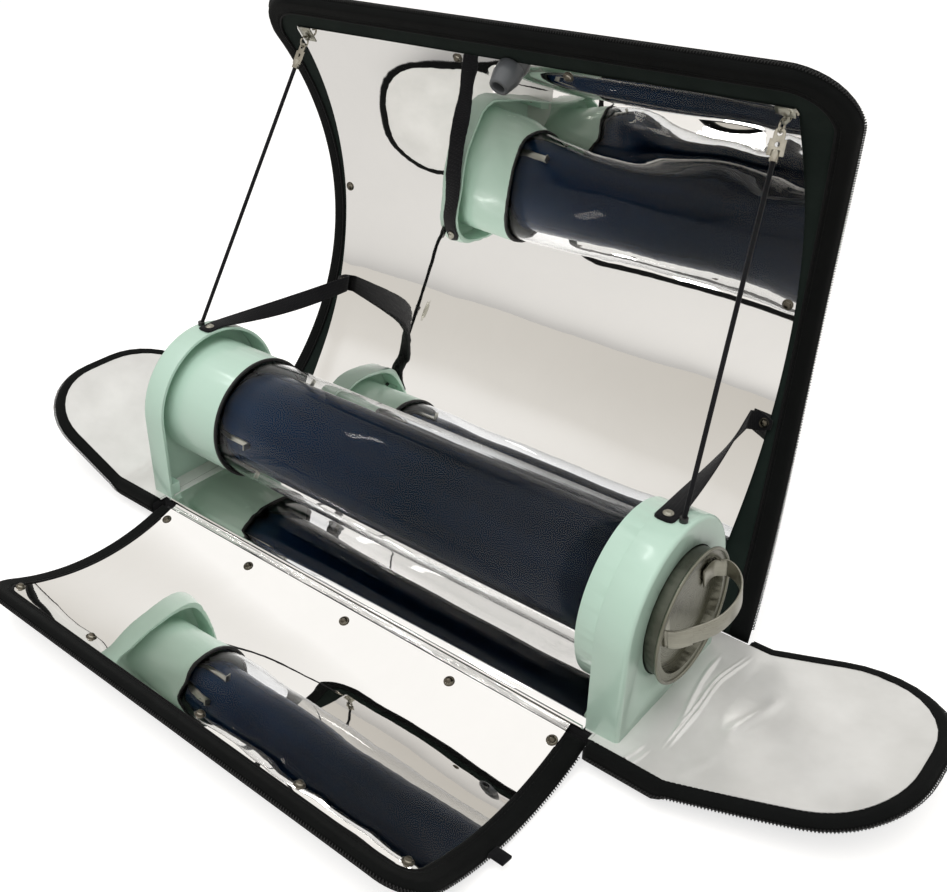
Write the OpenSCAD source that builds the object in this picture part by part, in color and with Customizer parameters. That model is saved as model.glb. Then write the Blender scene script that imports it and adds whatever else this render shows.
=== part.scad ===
// Folding solar cooker: an evacuated glass tube held in two brackets on a soft case
// whose lined panels open into a curved reflector.
// X runs along the tube, with the open end at +X. -Y is the front, +Z is up.
// The origin is at the middle of the underside of the base, below the tube's axis.

/* [Tube] */
// Outer diameter of the outer glass
outer_glass_d = 125; // [122:1:127]
// Outer diameter of the inner, coated glass
inner_glass_d = 102; // [96:1:106]
// Wall of both glasses
glass_wall = 2.5; // [2:0.25:3]
// Distance from the outer glass's closed end to the left bracket's outer face
dome_inset = 30; // [26:1:36]
// Gap between the closed ends of the two glasses
dome_gap = 22.5; // [20:0.5:26]
// Distance from the tube's mouth to the right bracket's outer face
mouth_inset = 8; // [7:0.5:10]

/* [Brackets] */
// Distance between the outer faces of the two brackets
bracket_span = 584; // [540:2:640]
// Depth of a bracket along the tube
bracket_d = 30; // [27:1:36]
// How far a bracket's arch stands outside the outer glass
arch_room = 19; // [17:0.5:24]
// Wall of a bracket moulding
bracket_wall = 3; // [2:0.5:4]
// Height of the tube's axis above the base mirror
axis_h = 87.5; // [84:0.5:96]
// Rounding of a bracket's outer edge
bracket_edge_r = 4; // [2:0.5:5]
// Depth of the left bracket's cup, from its outer face to its mouth
cup_d = 93; // [76:1:104]
// Wall of the cup
cup_wall = 2.2; // [1.6:0.2:3]
// Flare where the cup meets the left bracket's plate
cup_flare = 9; // [5:1:12]
// How far the right bracket's collar stands toward the tube
collar_d = 18; // [10:1:24]
// Step from the arch down to the right bracket's collar
collar_step = 2; // [1:0.5:3]
// Clearance round the glass in the cup and collar
glass_clear = 0.5; // [0.4:0.1:0.8]
// Thickness of the rubber ring on the cup's mouth
cup_seal_t = 3; // [2:0.5:5]

/* [Base] */
// Thickness of the padded base
base_t = 15; // [13:1:20]
// Thickness of the silvered lining
lining_t = 1; // [0.6:0.1:1.5]
// Thickness of the mirror sheets
mirror_t = 1; // [0.6:0.1:1.5]
// From a bracket's outer face to the crease of the flap
flap_gap = 47; // [44:1:56]
// Front edge of the padded base, in front of the tube's axis
base_front = 99.5; // [97:0.5:104]
// Rear edge of the padded base, behind the tube's axis
base_rear = 105.5; // [104:0.5:110]
// Height of the feet
foot_h = 12; // [8:1:16]
// Diameter of a foot
foot_d = 20; // [14:1:26]
// Thickness of the stiffening boards
board_t = 5; // [3:0.5:6]
// Cover skin around the edge of a board
board_margin = 12; // [10:1:18]

/* [Back panel] */
// Radius of the back mirror
back_r = 339; // [320:1:380]
// Lean of the back panel at its hinge, from upright
back_lean = 49; // [44:1:54]
// Length of the back panel along its curve
back_len = 549; // [500:1:580]
// Thickness of the padded back panel
back_t = 12; // [11:0.5:16]
// Width of the back panel at its waist
back_waist = 571; // [560:1:590]
// Radius of the back panel's drawn-in sides
back_side_r = 1000; // [800:50:2000]
// Height of the waist above the base's underside
waist_h = 250; // [220:5:290]
// Corner radius of the back panel
back_corner_r = 55; // [35:5:70]
// Strip of cover between the binding and the back mirror at the waist
back_strip = 4.5; // [1.5:0.5:19.5]
// Strip of cover between the binding and the back mirror at the top
back_top_strip = 19; // [16:1:34]
// Distance from the tube's axis back to the rear hinge
rear_hinge_y = 103; // [102:0.5:107]
// Height of the rear hinge
rear_hinge_z = 12; // [10:0.5:14]

/* [Front panel] */
// Radius of the front mirror
front_r = 237; // [220:1:280]
// Dip of the front panel at its hinge
front_dip = 20; // [12:1:22]
// Length of the front panel along its curve
front_len = 229; // [200:1:240]
// Thickness of the padded front panel
front_t = 8; // [7:0.5:9]
// Width of the front panel
front_w = 535; // [520:1:545]
// Strip of cover between the binding and the sides of the front mirror
front_strip = 1; // [0.5:0.5:10]
// Strip of cover between the binding and the far edge of the front mirror
front_far_strip = 2; // [1:0.5:10]
// Corner radius of the front panel
front_corner_r = 34; // [26:2:44]
// Distance from the tube's axis forward to the front hinge
front_hinge_y = 89.5; // [89:0.5:91]
// Height of the front hinge
front_hinge_z = 9.3; // [8.5:0.1:9.5]

/* [Flaps] */
// Length of a flap from its crease
flap_len = 165; // [150:1:180]
// Thickness of a padded flap
flap_t = 7; // [6:0.5:8]
// Corner radius of a flap
flap_corner_r = 86; // [60:2:90]
// Tilt of the left flap above level
left_tilt = 22; // [5:1:30]
// Tilt of the right flap above level
right_tilt = 8; // [3:1:9]
// How far the right flap's outer end lies toward the rear
right_drift = 34; // [0:2:40]

/* [Bindings] */
// Width of the zip binding on a panel's face
binding_w = 16; // [12:1:20]
// How far the binding stands outside the cover
binding_t = 1.4; // [1:0.2:2]

/* [Tray and lid] */
// Outer diameter of the food trough
trough_d = 92; // [80:1:94]
// Sheet thickness of the tray
tray_wall = 1.2; // [0.8:0.1:1.5]
// From the inner glass's closed end to the tray
tray_end_gap = 42; // [40:1:60]
// Diameter of the lid's flange
lid_d = 120; // [116:1:122]
// Diameter of the hole in the right bracket's face
mouth_d = 114; // [112:1:115]
// Length of the stopper inside the glass
stopper_l = 22; // [16:1:30]
// From the right bracket's face to the lid's flange
lid_stand = 11; // [9:0.5:12]
// Diameter of the dish in the lid
dish_d = 101; // [98:1:102]
// Depth of the dish in the lid
dish_depth = 6.5; // [4:0.5:8]
// Radius of the handle's bow
handle_r = 46.5; // [44:0.5:47]
// How far the handle stands out of the lid's flange
handle_out = 28; // [22:1:28]
// Width of the handle strap
handle_w = 20; // [14:1:22]
// Thickness of the handle strap
handle_t = 1.6; // [1.2:0.2:2]
// Turn of the handle about the tube's axis
handle_turn = 12; // [0:1:30]

/* [Stays and fittings] */
// Diameter of a stay cord
cord_d = 4; // [3:0.5:5]
// Width of a webbing strap
strap_w = 18; // [14:1:20]
// Thickness of a webbing strap
strap_t = 1.6; // [1.2:0.2:2]
// Length of the metal clip on a cord
clip_l = 22; // [18:1:28]
// Diameter of a press stud
stud_d = 10; // [8:0.5:12]
// Height of a press stud
stud_h = 3; // [2:0.5:4]
// Diameter of the sighting cup
sight_d = 26; // [20:1:30]
// Height of the sighting cup
sight_h = 24; // [18:1:30]

/* [Hidden] */
$fn = 96;

// Clearance between a hinge bead and the edge it lies against
bead_gap = 0.6;
// How much a hinge bead is thinner than its panel, on the radius
bead_step = 0.05;
// Clearance round parts that lie in a pocket
pocket_clear = 0.2;
// Reach of a cutting solid past what it cuts
cut = 1;
// Longer than the whole object
far = 1500;

outer_x = bracket_span / 2;
rim_x = outer_x - bracket_d;
crease_x = outer_x + flap_gap;
glass_r = outer_glass_d / 2;
inner_r = inner_glass_d / 2;
arch_r = glass_r + arch_room;
lining_z = base_t + lining_t;
mirror_z = lining_z + mirror_t;
axis_z = mirror_z + axis_h;
top_z = axis_z + arch_r;
bore_r = glass_r + glass_clear;
cup_r = bore_r + cup_wall;
cup_x = -outer_x + cup_d;
collar_r = arch_r - collar_step;
collar_x = rim_x - collar_d;
mouth_x = outer_x - mouth_inset;
mouth_r = mouth_d / 2;
dome_x = -outer_x + dome_inset;
inner_dome_x = dome_x + glass_wall + dome_gap;

// Base
flap_full_t = flap_t + lining_t;
flap_axis_z = lining_z - flap_full_t / 2;
flap_mid_y = (base_rear - base_front) / 2;
flap_half = (base_rear + base_front) / 2 + 1.5;
base_half = crease_x - flap_full_t / 2 - bead_gap;
edge_front = front_hinge_y - front_t / 2 - bead_gap;
edge_rear = rear_hinge_y - back_t / 2 - bead_gap;
front_notch = front_w / 2 + 2 * binding_t + 1;
rear_notch = side_half(rear_hinge_z) + 2 * binding_t + 1;
foot_x = outer_x - 12;
foot_front = 72;
foot_rear = 84;
tape_t = 0.8;
lip_r = 1.6;

// Screw blocks under the brackets
block_w = 14;
block_h = 14;
screw_x = (rim_x + outer_x) / 2;
screw_y = arch_r - bracket_wall / 2 - block_w / 2;

// Fittings on the tops of the brackets
cord_inset = 7.5;
strap_y = 3;
strap_x = rim_x + strap_w / 2;
anchor_h = 4;

// Inside the tube
pad_wrap = 18;
spring_angles = [175, 218];
spring_w = 6;
spring_t = 1;
spring_l = 26;
tray_rise = 0;
lid_x = outer_x + lid_stand;
dish_x = lid_x - dish_depth;
handle_shift = 3;
foot_tab = 10;

// Back panel: its curve's centre is (Y, Z), and angles run up from level
back_in = back_r + mirror_t;
back_out = back_in + back_t;
back_mid = back_in + back_t / 2;
back_c = [rear_hinge_y - back_mid * cos(back_lean), rear_hinge_z + back_mid * sin(back_lean)];
back_end_a = arc_deg(back_len, back_mid) - back_lean;
back_mirror_start = 2;
back_mirror_half = back_waist / 2 - binding_w - back_strip;
back_top_margin = binding_w + back_top_strip;
back_mirror_s = (back_end_a + back_lean) * PI / 180 * back_r - back_top_margin;
corner_z = back_c[1] + back_mid * sin(back_end_a) - back_corner_r * cos(back_end_a);
corner_lean = atan(tan(asin((corner_z - waist_h) / back_side_r)) * cos(back_end_a));
top_half = side_half(corner_z - back_corner_r * sin(corner_lean) * cos(back_end_a))
    + back_corner_r * (1 - cos(corner_lean)) - 1;
top_stud_x = 60;
top_stud_inset = 7;
stud_inset = 7;
side_stud_s = 305;
strap_s = 192;
strap_stud_x = back_mirror_half - 4;
strap_lift = 0.3;
tab_x = back_mirror_half - 11;
tab_s = back_mirror_s - 9;
seat = 0.05;

// Cord ring and clip on the right: the ring hangs in the tab's eye and points at the anchor
ring_r = 5;
wire_r = 0.9;
ring_out = 3.4 + ring_r;
ring_c = back_point(tab_x, tab_s, ring_out, -3);
cord_foot = [outer_x - cord_inset, strap_y, top_z + 1];
pull = (cord_foot - ring_c) / norm(cord_foot - ring_c);
eye_r = 2;
eye = ring_c + pull * (ring_r + eye_r - wire_r - 0.3);
clip_w = 13;
clip_t = 1.2;
crimp_l = 9;

// Front panel: its curve's centre is (Y, Z), and angles run up from level
front_in = front_r + mirror_t;
front_out = front_in + front_t;
front_mid = front_in + front_t / 2;
front_hinge_a = front_dip - 90;
front_c = [-front_hinge_y - front_mid * cos(front_hinge_a), front_hinge_z - front_mid * sin(front_hinge_a)];
front_end_a = front_hinge_a - arc_deg(front_len, front_mid);
front_mirror_start = 1.5;
front_mirror_half = front_w / 2 - binding_w - front_strip;
front_far_margin = binding_w + front_far_strip;
front_stud_half = front_mirror_half - stud_d / 2 - 1;
upper_stud_x = stud_row(front_stud_half, [1, 5.5, 14, 16.5, 1]);
lower_stud_x = stud_row(front_stud_half, [-1.5, -11.5, 15, 8.5, -5]);
upper_stud_s = 14;
lower_stud_s = 194;
pull_s = 128;

// Colours
mint = [0.70, 0.84, 0.76];
black = [0.04, 0.04, 0.05];
slate = [0.16, 0.19, 0.18];
silver = [0.85, 0.84, 0.81];
steel = [0.66, 0.64, 0.58];
mirrored = [0.90, 0.91, 0.93];

function on_circle(c, r, a) = [c[0] + r * cos(a), c[1] + r * sin(a)];
function arc_deg(len, r) = len / r * 180 / PI;
function arc_points(c, r, a0, a1, n) = [for (k = [0 : n]) on_circle(c, r, a0 + (a1 - a0) * k / n)];
function side_half(z, grow = 0) = back_waist / 2 + back_side_r
    - sqrt(pow(back_side_r - grow, 2) - pow(z - waist_h, 2));
// Even row of places from -half to half, each set off by hand
function stud_row(half, shifts) = [for (k = [0 : len(shifts) - 1])
    -half + 2 * half * k / (len(shifts) - 1) + shifts[k]];
function board_in(m) = m - board_t / 2 - pocket_clear;
function board_out(m) = m + board_t / 2 + pocket_clear;

// Point in front of the back mirror: s along it from the hinge, out from its face, up along it
function back_point(x, s, out, up) = let (
    a = arc_deg(s, back_r) - back_lean,
    r = back_r - out
) [x, back_c[0] + r * cos(a) - up * sin(a), back_c[1] + r * sin(a) + up * cos(a)];

module sided(side) {
    if (side > 0) children();
    else mirror([1, 0, 0]) children();
}

// Profiles drawn in (Y, Z) and pulled along X
module along_x(x0, x1) {
    translate([x0, 0, 0]) rotate([90, 0, 90]) linear_extrude(x1 - x0) children();
}

// Turned shapes: profiles drawn in (radius, X) and spun about the tube's axis
module about_tube() {
    translate([0, 0, axis_z]) rotate([0, 90, 0]) rotate_extrude() children();
}

module tube_rod(r, x0, x1) {
    translate([x0, 0, axis_z]) rotate([0, 90, 0]) cylinder(r = r, h = x1 - x0);
}

module tube_ring(r0, r1, x0, x1) {
    difference() {
        tube_rod(r1, x0, x1);
        tube_rod(r0, x0 - cut, x1 + cut);
    }
}

module sector(c, r0, r1, a0, a1) {
    reach = r1 * 2;
    mid = (a0 + a1) / 2;
    intersection() {
        translate(c) difference() {
            circle(r1, $fn = 360);
            circle(r0, $fn = 360);
        }
        polygon([c, on_circle(c, reach, a0), on_circle(c, reach, mid), on_circle(c, reach, a1)]);
    }
}

// BASE

module base_plan(grow) {
    difference() {
        translate([-base_half, -base_front - grow])
            square([2 * base_half, base_front + base_rear + 2 * grow]);
        translate([-front_notch + grow, -far]) square([2 * (front_notch - grow), far - edge_front]);
        translate([-rear_notch + grow, edge_rear]) square([2 * (rear_notch - grow), far]);
    }
}

module board_block(grow) {
    span = base_half - board_margin + grow;
    front = edge_front - board_margin + grow;
    rear = edge_rear - board_margin + grow;
    translate([-span, -front, base_t / 2 - board_t / 2 - grow])
        cube([2 * span, front + rear, board_t + 2 * grow]);
}

module base_cover() color(black) difference() {
    linear_extrude(base_t) base_plan(0);
    board_block(pocket_clear);
}

module base_board() color("dimgray") board_block(0);

module base_lining() color(silver) translate([0, 0, base_t]) linear_extrude(lining_t) difference() {
    base_plan(-binding_w);
    translate([-rim_x, -far / 2]) square([2 * rim_x, far]);
}

module base_mirror() color(mirrored)
    translate([-rim_x, -edge_front, base_t])
        cube([2 * rim_x, edge_front + edge_rear, lining_t + mirror_t]);

// Bindings round the corners of the base that the panels leave free
module base_binding() color(black) difference() {
    translate([0, 0, -binding_t]) linear_extrude(lining_z + 2 * binding_t) difference() {
        base_plan(binding_t);
        base_plan(-binding_w);
        translate([-front_notch + binding_t, -far])
            square([2 * (front_notch - binding_t), far]);
        translate([-rear_notch + binding_t, 0]) square([2 * (rear_notch - binding_t), far]);
    }
    linear_extrude(base_t) base_plan(0);
}

// Half-round bead along the front edge of the base mirror
module front_lip() color(steel) along_x(-rim_x + 2, rim_x - 2)
    translate([-edge_front + lip_r + 0.2, mirror_z]) intersection() {
        circle(lip_r);
        translate([-far / 2, 0]) square(far);
    }

module feet() color("gainsboro")
    for (x = [-foot_x, foot_x], y = [-foot_front, foot_rear])
        translate([x, y, -foot_h]) difference() {
            union() {
                cylinder(d1 = foot_d - 4, d2 = foot_d, h = foot_h / 2);
                translate([0, 0, foot_h / 2]) cylinder(d = foot_d, h = foot_h / 2);
            }
            translate([0, 0, -cut]) cylinder(d = foot_d / 3, h = cut + foot_h / 3);
        }

// Fabric tapes that wrap the outside of a hinge bead
module hinge_tape(c, bead_r, a0, a1, half) {
    inner = bead_r + bead_gap;
    along_x(-half, half) sector(c, inner, inner + tape_t, a0, a1);
}

module rear_hinge_tape() color(black)
    hinge_tape([rear_hinge_y, rear_hinge_z], back_t / 2, -148, -back_lean - 8, back_waist / 2);

module front_hinge_tape() color(black)
    hinge_tape([-front_hinge_y, front_hinge_z], front_t / 2, front_hinge_a + 8, -38, front_w / 2 - 1);

module flap_hinge_tape() {
    inner = flap_full_t / 2 + bead_gap;
    translate([crease_x, flap_mid_y + flap_half - 1, flap_axis_z]) rotate([90, 0, 0])
        linear_extrude(2 * flap_half - 2) sector([0, 0], inner, inner + tape_t, -143, -92);
}

module left_hinge_tape() color(black) sided(-1) flap_hinge_tape();
module right_hinge_tape() color(black) sided(1) flap_hinge_tape();

// BRACKETS

// Arch with its outer edge rounded, from x = 0 inward face to x = depth
module arch(r, depth, edge_r, drop) {
    translate([0, 0, axis_z]) rotate([90, 0, 90]) rotate_extrude(angle = 180) {
        square([r, depth - edge_r]);
        square([r - edge_r, depth]);
        translate([r - edge_r, depth - edge_r]) circle(max(edge_r, 0.01));
    }
    translate([0, 0, drop]) linear_extrude(axis_z - drop) {
        translate([0, -r]) square([depth - edge_r, 2 * r]);
        translate([0, -r + edge_r]) square([depth, 2 * (r - edge_r)]);
        for (y = [-r + edge_r, r - edge_r])
            translate([depth - edge_r, y]) circle(max(edge_r, 0.01));
    }
}

// Plain arch for hollowing
module arch_block(r, depth, drop) {
    along_x(0, depth) {
        translate([0, axis_z]) circle(r);
        translate([-r, drop]) square([2 * r, axis_z - drop]);
    }
}

// Feet inside a bracket that take the screws from below
module screw_blocks(x0, x1) {
    for (y = [-1, 1])
        translate([x0, y * (arch_r - bracket_wall / 2 - block_w / 2) - block_w / 2, lining_z])
            cube([x1 - x0, block_w, block_h]);
}

module screw_places() {
    for (x = [-screw_x, screw_x], y = [-screw_y, screw_y]) translate([x, y, 0]) children();
}

module strap_screw_hole(side) {
    translate([side * strap_x, strap_y, top_z - bracket_wall - cut])
        cylinder(d = 3.4, h = bracket_wall + 2 * cut);
}

module cord_hole(side) {
    translate([side * (outer_x - cord_inset), strap_y, top_z - bracket_wall - cut])
        cylinder(d = cord_d + 0.8, h = bracket_wall + 2 * cut);
}

module left_bracket() color(mint) difference() {
    union() {
        difference() {
            translate([-rim_x, 0, 0]) mirror([1, 0, 0]) arch(arch_r, bracket_d, bracket_edge_r, lining_z);
            translate([-outer_x + bracket_wall, 0, 0])
                arch_block(arch_r - bracket_wall, bracket_d, lining_z - cut);
        }
        tube_rod(cup_r, -outer_x + cut, cup_x);
        translate([-outer_x + bracket_wall, 0, axis_z]) rotate([0, 90, 0]) rotate_extrude()
            translate([cup_r - 0.5, -0.5]) difference() {
                square(cup_flare + 0.5);
                translate([cup_flare + 0.5, cup_flare + 0.5]) circle(cup_flare);
            }
        screw_blocks(-outer_x + cut, -rim_x - bracket_edge_r);
    }
    tube_rod(bore_r, -outer_x + bracket_wall, cup_x + cut);
    screw_places() translate([0, 0, lining_z - cut]) cylinder(d = 4, h = block_h + 2 * cut);
    strap_screw_hole(-1);
    cord_hole(-1);
}

module right_bracket() color(mint) difference() {
    union() {
        difference() {
            translate([rim_x, 0, 0]) arch(arch_r, bracket_d, bracket_edge_r, lining_z);
            translate([rim_x + bracket_wall, 0, 0])
                arch_block(arch_r - bracket_wall, bracket_d - 2 * bracket_wall, lining_z - cut);
        }
        difference() {
            tube_rod(collar_r, collar_x, rim_x + cut);
            tube_rod(collar_r - bracket_wall, collar_x + bracket_wall, rim_x);
        }
        screw_blocks(rim_x + bracket_edge_r, outer_x - cut);
    }
    tube_rod(bore_r, collar_x - cut, rim_x + bracket_wall + cut);
    tube_rod(mouth_r, outer_x - bracket_wall - cut, outer_x + cut);
    screw_places() translate([0, 0, lining_z - cut]) cylinder(d = 4, h = block_h + 2 * cut);
    strap_screw_hole(1);
    cord_hole(1);
}

// Screws that come up through the base into the blocks
module bracket_screws() color(steel) screw_places()
    translate([0, 0, lining_z]) cylinder(d = 3.6, h = block_h - 1);

module cup_seal() color(black) tube_ring(glass_r + 0.1, cup_r + 0.6, cup_x, cup_x + cup_seal_t);

module mouth_seal() color(black)
    tube_ring(mouth_r + cut, glass_r, mouth_x, outer_x - bracket_wall);

// Soft pad that the closed end rests in
module dome_pad() color("darkslategray") difference() {
    tube_rod(glass_r * 0.75, -outer_x + bracket_wall, dome_x + pad_wrap);
    translate([dome_x + glass_r, 0, axis_z]) sphere(glass_r + pocket_clear);
}

// TUBE

module glass_profile(r, x0, x1) {
    translate([0, x0 + r]) intersection() {
        circle(r, $fn = 180);
        translate([0, -r]) square([r, r]);
    }
    translate([0, x0 + r]) square([r, x1 - x0 - r]);
}

module outer_glass() color([0.85, 0.92, 0.98, 0.35]) about_tube() difference() {
    glass_profile(glass_r, dome_x, mouth_x);
    glass_profile(glass_r - glass_wall, dome_x + glass_wall, mouth_x - glass_wall);
    square([inner_r - glass_wall, mouth_x + cut]);
}

module inner_glass() color([0.10, 0.14, 0.28]) about_tube() difference() {
    glass_profile(inner_r, inner_dome_x, mouth_x - glass_wall);
    glass_profile(inner_r - glass_wall, inner_dome_x + glass_wall, mouth_x);
}

// Sprung clip that steadies the inner glass's closed end: two straps crossed over its dome
module dome_spring() color(steel) {
    shell_x = inner_dome_x + inner_r;
    for (k = [0, 1]) {
        shell_r = inner_r + pocket_clear + k * spring_t / 2;
        translate([shell_x, 0, axis_z]) rotate([spring_angles[k], 0, 0]) {
            rotate([0, 0, 90]) rotate_extrude(angle = 180)
                translate([shell_r, -spring_w / 2]) square([spring_t, spring_w]);
            for (turn = [0, 180]) rotate([turn, 0, 0]) {
                translate([0, shell_r, -spring_w / 2]) cube([spring_l, spring_t, spring_w]);
                translate([spring_l - spring_t, shell_r, -spring_w / 2])
                    cube([spring_t, glass_r - glass_wall - shell_r - 0.6, spring_w]);
            }
        }
    }
    tube_rod(9, dome_x + glass_wall + 1.6, inner_dome_x - pocket_clear);
}

// TRAY AND LID

module trough_profile(r, rise) {
    intersection() {
        circle(r);
        translate([-r, -r]) square([2 * r, r + rise]);
    }
}

module tray() color(steel) {
    r = trough_d / 2;
    x0 = inner_dome_x + tray_end_gap;
    x1 = mouth_x - stopper_l;
    difference() {
        translate([0, 0, axis_z]) along_x(x0, x1) trough_profile(r, tray_rise);
        translate([0, 0, axis_z]) along_x(x0 + tray_wall, x1 - tray_wall)
            trough_profile(r - tray_wall, tray_rise + cut);
    }
    for (side = [-1, 1])
        translate([x0, side * (sqrt(pow(r, 2) - pow(tray_rise, 2)) - lip_r), axis_z + tray_rise])
            rotate([0, 90, 0]) cylinder(r = lip_r, h = x1 - x0);
}

module stopper() color("gray") difference() {
    union() {
        tube_rod(inner_r - glass_wall - 1, mouth_x - stopper_l, mouth_x + cut);
        tube_rod(mouth_r - cut, mouth_x + 0.5, lid_x);
    }
    tube_rod(dish_d / 2 + tray_wall + 0.1, dish_x - tray_wall, lid_x + cut);
}

module lid() color(steel) about_tube() {
    translate([0, dish_x - tray_wall]) square([dish_d / 2 + tray_wall, tray_wall]);
    translate([dish_d / 2, dish_x - tray_wall]) square([tray_wall, lid_x + tray_wall * 2 - dish_x]);
    translate([dish_d / 2, lid_x]) square([lid_d / 2 - dish_d / 2 - lip_r, tray_wall]);
    translate([lid_d / 2 - lip_r, lid_x + lip_r]) circle(lip_r);
}

module handle() color(steel) {
    bow_x = lid_x + handle_out - handle_r;
    reach = sqrt(pow(handle_r, 2) - pow(dish_x - bow_x, 2));
    translate([0, 0, axis_z]) rotate([handle_turn, 0, 0]) {
        intersection() {
            difference() {
                translate([bow_x, handle_shift, 0]) cylinder(r = handle_r, h = handle_w, center = true);
                translate([bow_x, handle_shift, 0])
                    cylinder(r = handle_r - handle_t, h = handle_w + 2 * cut, center = true);
            }
            translate([dish_x, -far / 2, -far / 2]) cube(far);
        }
        for (side = [-1, 1])
            translate([dish_x, handle_shift + side * (reach - foot_tab / 2) - foot_tab / 2, -handle_w / 2])
                cube([handle_t, foot_tab, handle_w]);
    }
}

// Rivets that join the tray's end wall to the stopper
module tray_rivets() color(steel)
    for (side = [-1, 1])
        translate([mouth_x - stopper_l - tray_wall - 1.5, side * 18, axis_z - 20]) rotate([0, 90, 0])
            cylinder(d = 7, h = 1.5);

// BACK PANEL

module panel_slab(c, r0, r1, a0, a1) {
    along_x(-far / 2, far / 2) sector(c, r0, r1, min(a0, a1), max(a0, a1));
}

// Outline of a panel's free end at y = 0, whose sides lean out toward it
module end_outline(half, corner, lean) {
    side_t = half - corner * (1 - cos(lean));
    polygon(concat(
        [[-side_t, -far], [side_t, -far]],
        arc_points([half - corner, -corner], corner, -lean, 90, 14),
        arc_points([corner - half, -corner], corner, 90, 180 + lean, 14)));
}

// Cuts a panel to its outline, square to the curve at the free end
module end_cut(c, a, half, corner, lean, grow, rise) {
    translate([0, c[0], c[1]]) rotate([a, 0, 0]) translate([0, 0, grow * rise])
        rotate([0, rise > 0 ? 0 : 180, 0]) rotate([90, 0, 0]) linear_extrude(far, center = true)
            end_outline(half + grow, corner + grow, lean);
}

// Drawn-in sides of the back panel, in (X, Z)
module back_sides(grow) {
    steps = 28;
    low = rear_hinge_z - back_t * 2;
    high = back_c[1] + back_out;
    levels = [for (k = [0 : steps]) low + (high - low) * k / steps];
    rotate([90, 0, 0]) linear_extrude(far, center = true) polygon(concat(
        [for (z = levels) [side_half(z, grow), z]],
        [for (k = [steps : -1 : 0]) [-side_half(levels[k], grow), levels[k]]]));
}

module back_form(r0, r1, grow, a0) {
    intersection() {
        panel_slab(back_c, r0, r1, a0, back_end_a + 8);
        back_sides(grow);
        end_cut(back_c, back_end_a, top_half, back_corner_r, corner_lean, grow, 1);
    }
}

module back_cover() color(slate) difference() {
    union() {
        back_form(back_in, back_out, 0, -back_lean);
        intersection() {
            along_x(-far, far) translate([rear_hinge_y, rear_hinge_z]) circle(back_t / 2 - bead_step);
            back_sides(0);
        }
    }
    back_form(board_in(back_mid), board_out(back_mid), -board_margin + pocket_clear,
              -back_lean + arc_deg(board_margin, back_r));
}

module back_board() color("dimgray")
    back_form(board_in(back_mid) + pocket_clear, board_out(back_mid) - pocket_clear, -board_margin,
              -back_lean + arc_deg(board_margin + pocket_clear, back_r));

module back_mirror() color(mirrored) intersection() {
    panel_slab(back_c, back_r, back_in, -back_lean + back_mirror_start,
               back_end_a - arc_deg(back_top_margin, back_r));
    along_x(-back_mirror_half, back_mirror_half) square(far, center = true);
}

module back_binding() color(black) difference() {
    back_form(back_in - binding_t, back_out + binding_t, binding_t, -back_lean + back_mirror_start);
    back_form(back_in, back_out, 0, -back_lean);
    back_form(back_in - far / 10, back_out + far / 10, -binding_w, -back_lean - 1);
}

// Puts children on the back mirror: s runs along it from the hinge, -Y faces the tube
module on_back(x, s, lift) {
    a = arc_deg(s, back_r) - back_lean;
    translate([x, back_c[0], back_c[1]]) rotate([a, 0, 0]) translate([0, back_r - lift, 0]) children();
}

module stud() {
    rotate([90, 0, 0]) {
        cylinder(d = stud_d, h = stud_h * 0.4);
        translate([0, 0, stud_h * 0.4]) cylinder(d1 = stud_d * 0.85, d2 = stud_d * 0.5, h = stud_h * 0.6);
    }
}

module back_studs() color(steel)
    for (side = [-1, 1]) {
        on_back(side * top_stud_x, back_mirror_s - top_stud_inset, seat) stud();
        on_back(side * (back_mirror_half - stud_inset), side_stud_s, seat) stud();
    }

module strap_studs() color(steel)
    for (side = [-1, 1])
        on_back(side * strap_stud_x, strap_s, strap_t + strap_lift + seat) stud();

// Riveted plate at a top corner, with the eye that the cord's ring hangs in
module cord_tab() {
    on_back(tab_x, tab_s, seat * 3) {
        difference() {
            union() {
                translate([-8, -1.2, -9]) cube([16, 1.2, 18]);
                translate([0, -ring_out + ring_r + seat * 3, -5]) cylinder(r = 2.2, h = 4);
            }
            translate([0, -ring_out + ring_r + seat * 3, -5 - cut]) cylinder(r = 1.4, h = 4 + 2 * cut);
        }
        translate([0, -1.2, 4]) rotate([90, 0, 0]) cylinder(d1 = 8, d2 = 5, h = 1.8);
    }
}

module left_cord_tab() color(steel) sided(-1) cord_tab();
module right_cord_tab() color(steel) sided(1) cord_tab();

// Stands children at a with their Z axis toward b, and their X axis level
module aim(a, b) {
    d = (b - a) / norm(b - a);
    translate(a) rotate([0, acos(d[2]), atan2(d[1], d[0])]) rotate([0, 0, 90]) children();
}

// Ring in the tab's eye, and the eyed plate crimped on the end of the cord
module cord_clip() {
    on_back(tab_x, tab_s, ring_out) translate([0, 0, -3]) rotate([0, 90, 0]) rotate_extrude()
        translate([ring_r, 0]) circle(wire_r);
    aim(eye, cord_foot) difference() {
        union() {
            rotate([90, 0, 0]) cylinder(d = clip_w * 0.7, h = clip_t, center = true);
            translate([-clip_w * 0.35, -clip_t / 2, 0]) cube([clip_w * 0.7, clip_t, clip_w / 2]);
            translate([-clip_w / 2, -clip_t / 2, clip_w / 3]) cube([clip_w, clip_t, clip_l - crimp_l]);
            translate([0, 0, clip_l - crimp_l]) cylinder(r = cord_d / 2 + 1.4, h = crimp_l);
        }
        rotate([90, 0, 0]) cylinder(r = eye_r, h = clip_w, center = true);
        translate([0, 0, clip_w * 0.65]) rotate([90, 0, 0]) cylinder(d = 4, h = clip_w, center = true);
        translate([0, 0, clip_l - crimp_l + cut]) cylinder(r = cord_d / 2 + 0.2, h = far / 10);
    }
}

module left_cord_clip() color(steel) sided(-1) cord_clip();
module right_cord_clip() color(steel) sided(1) cord_clip();

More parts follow.
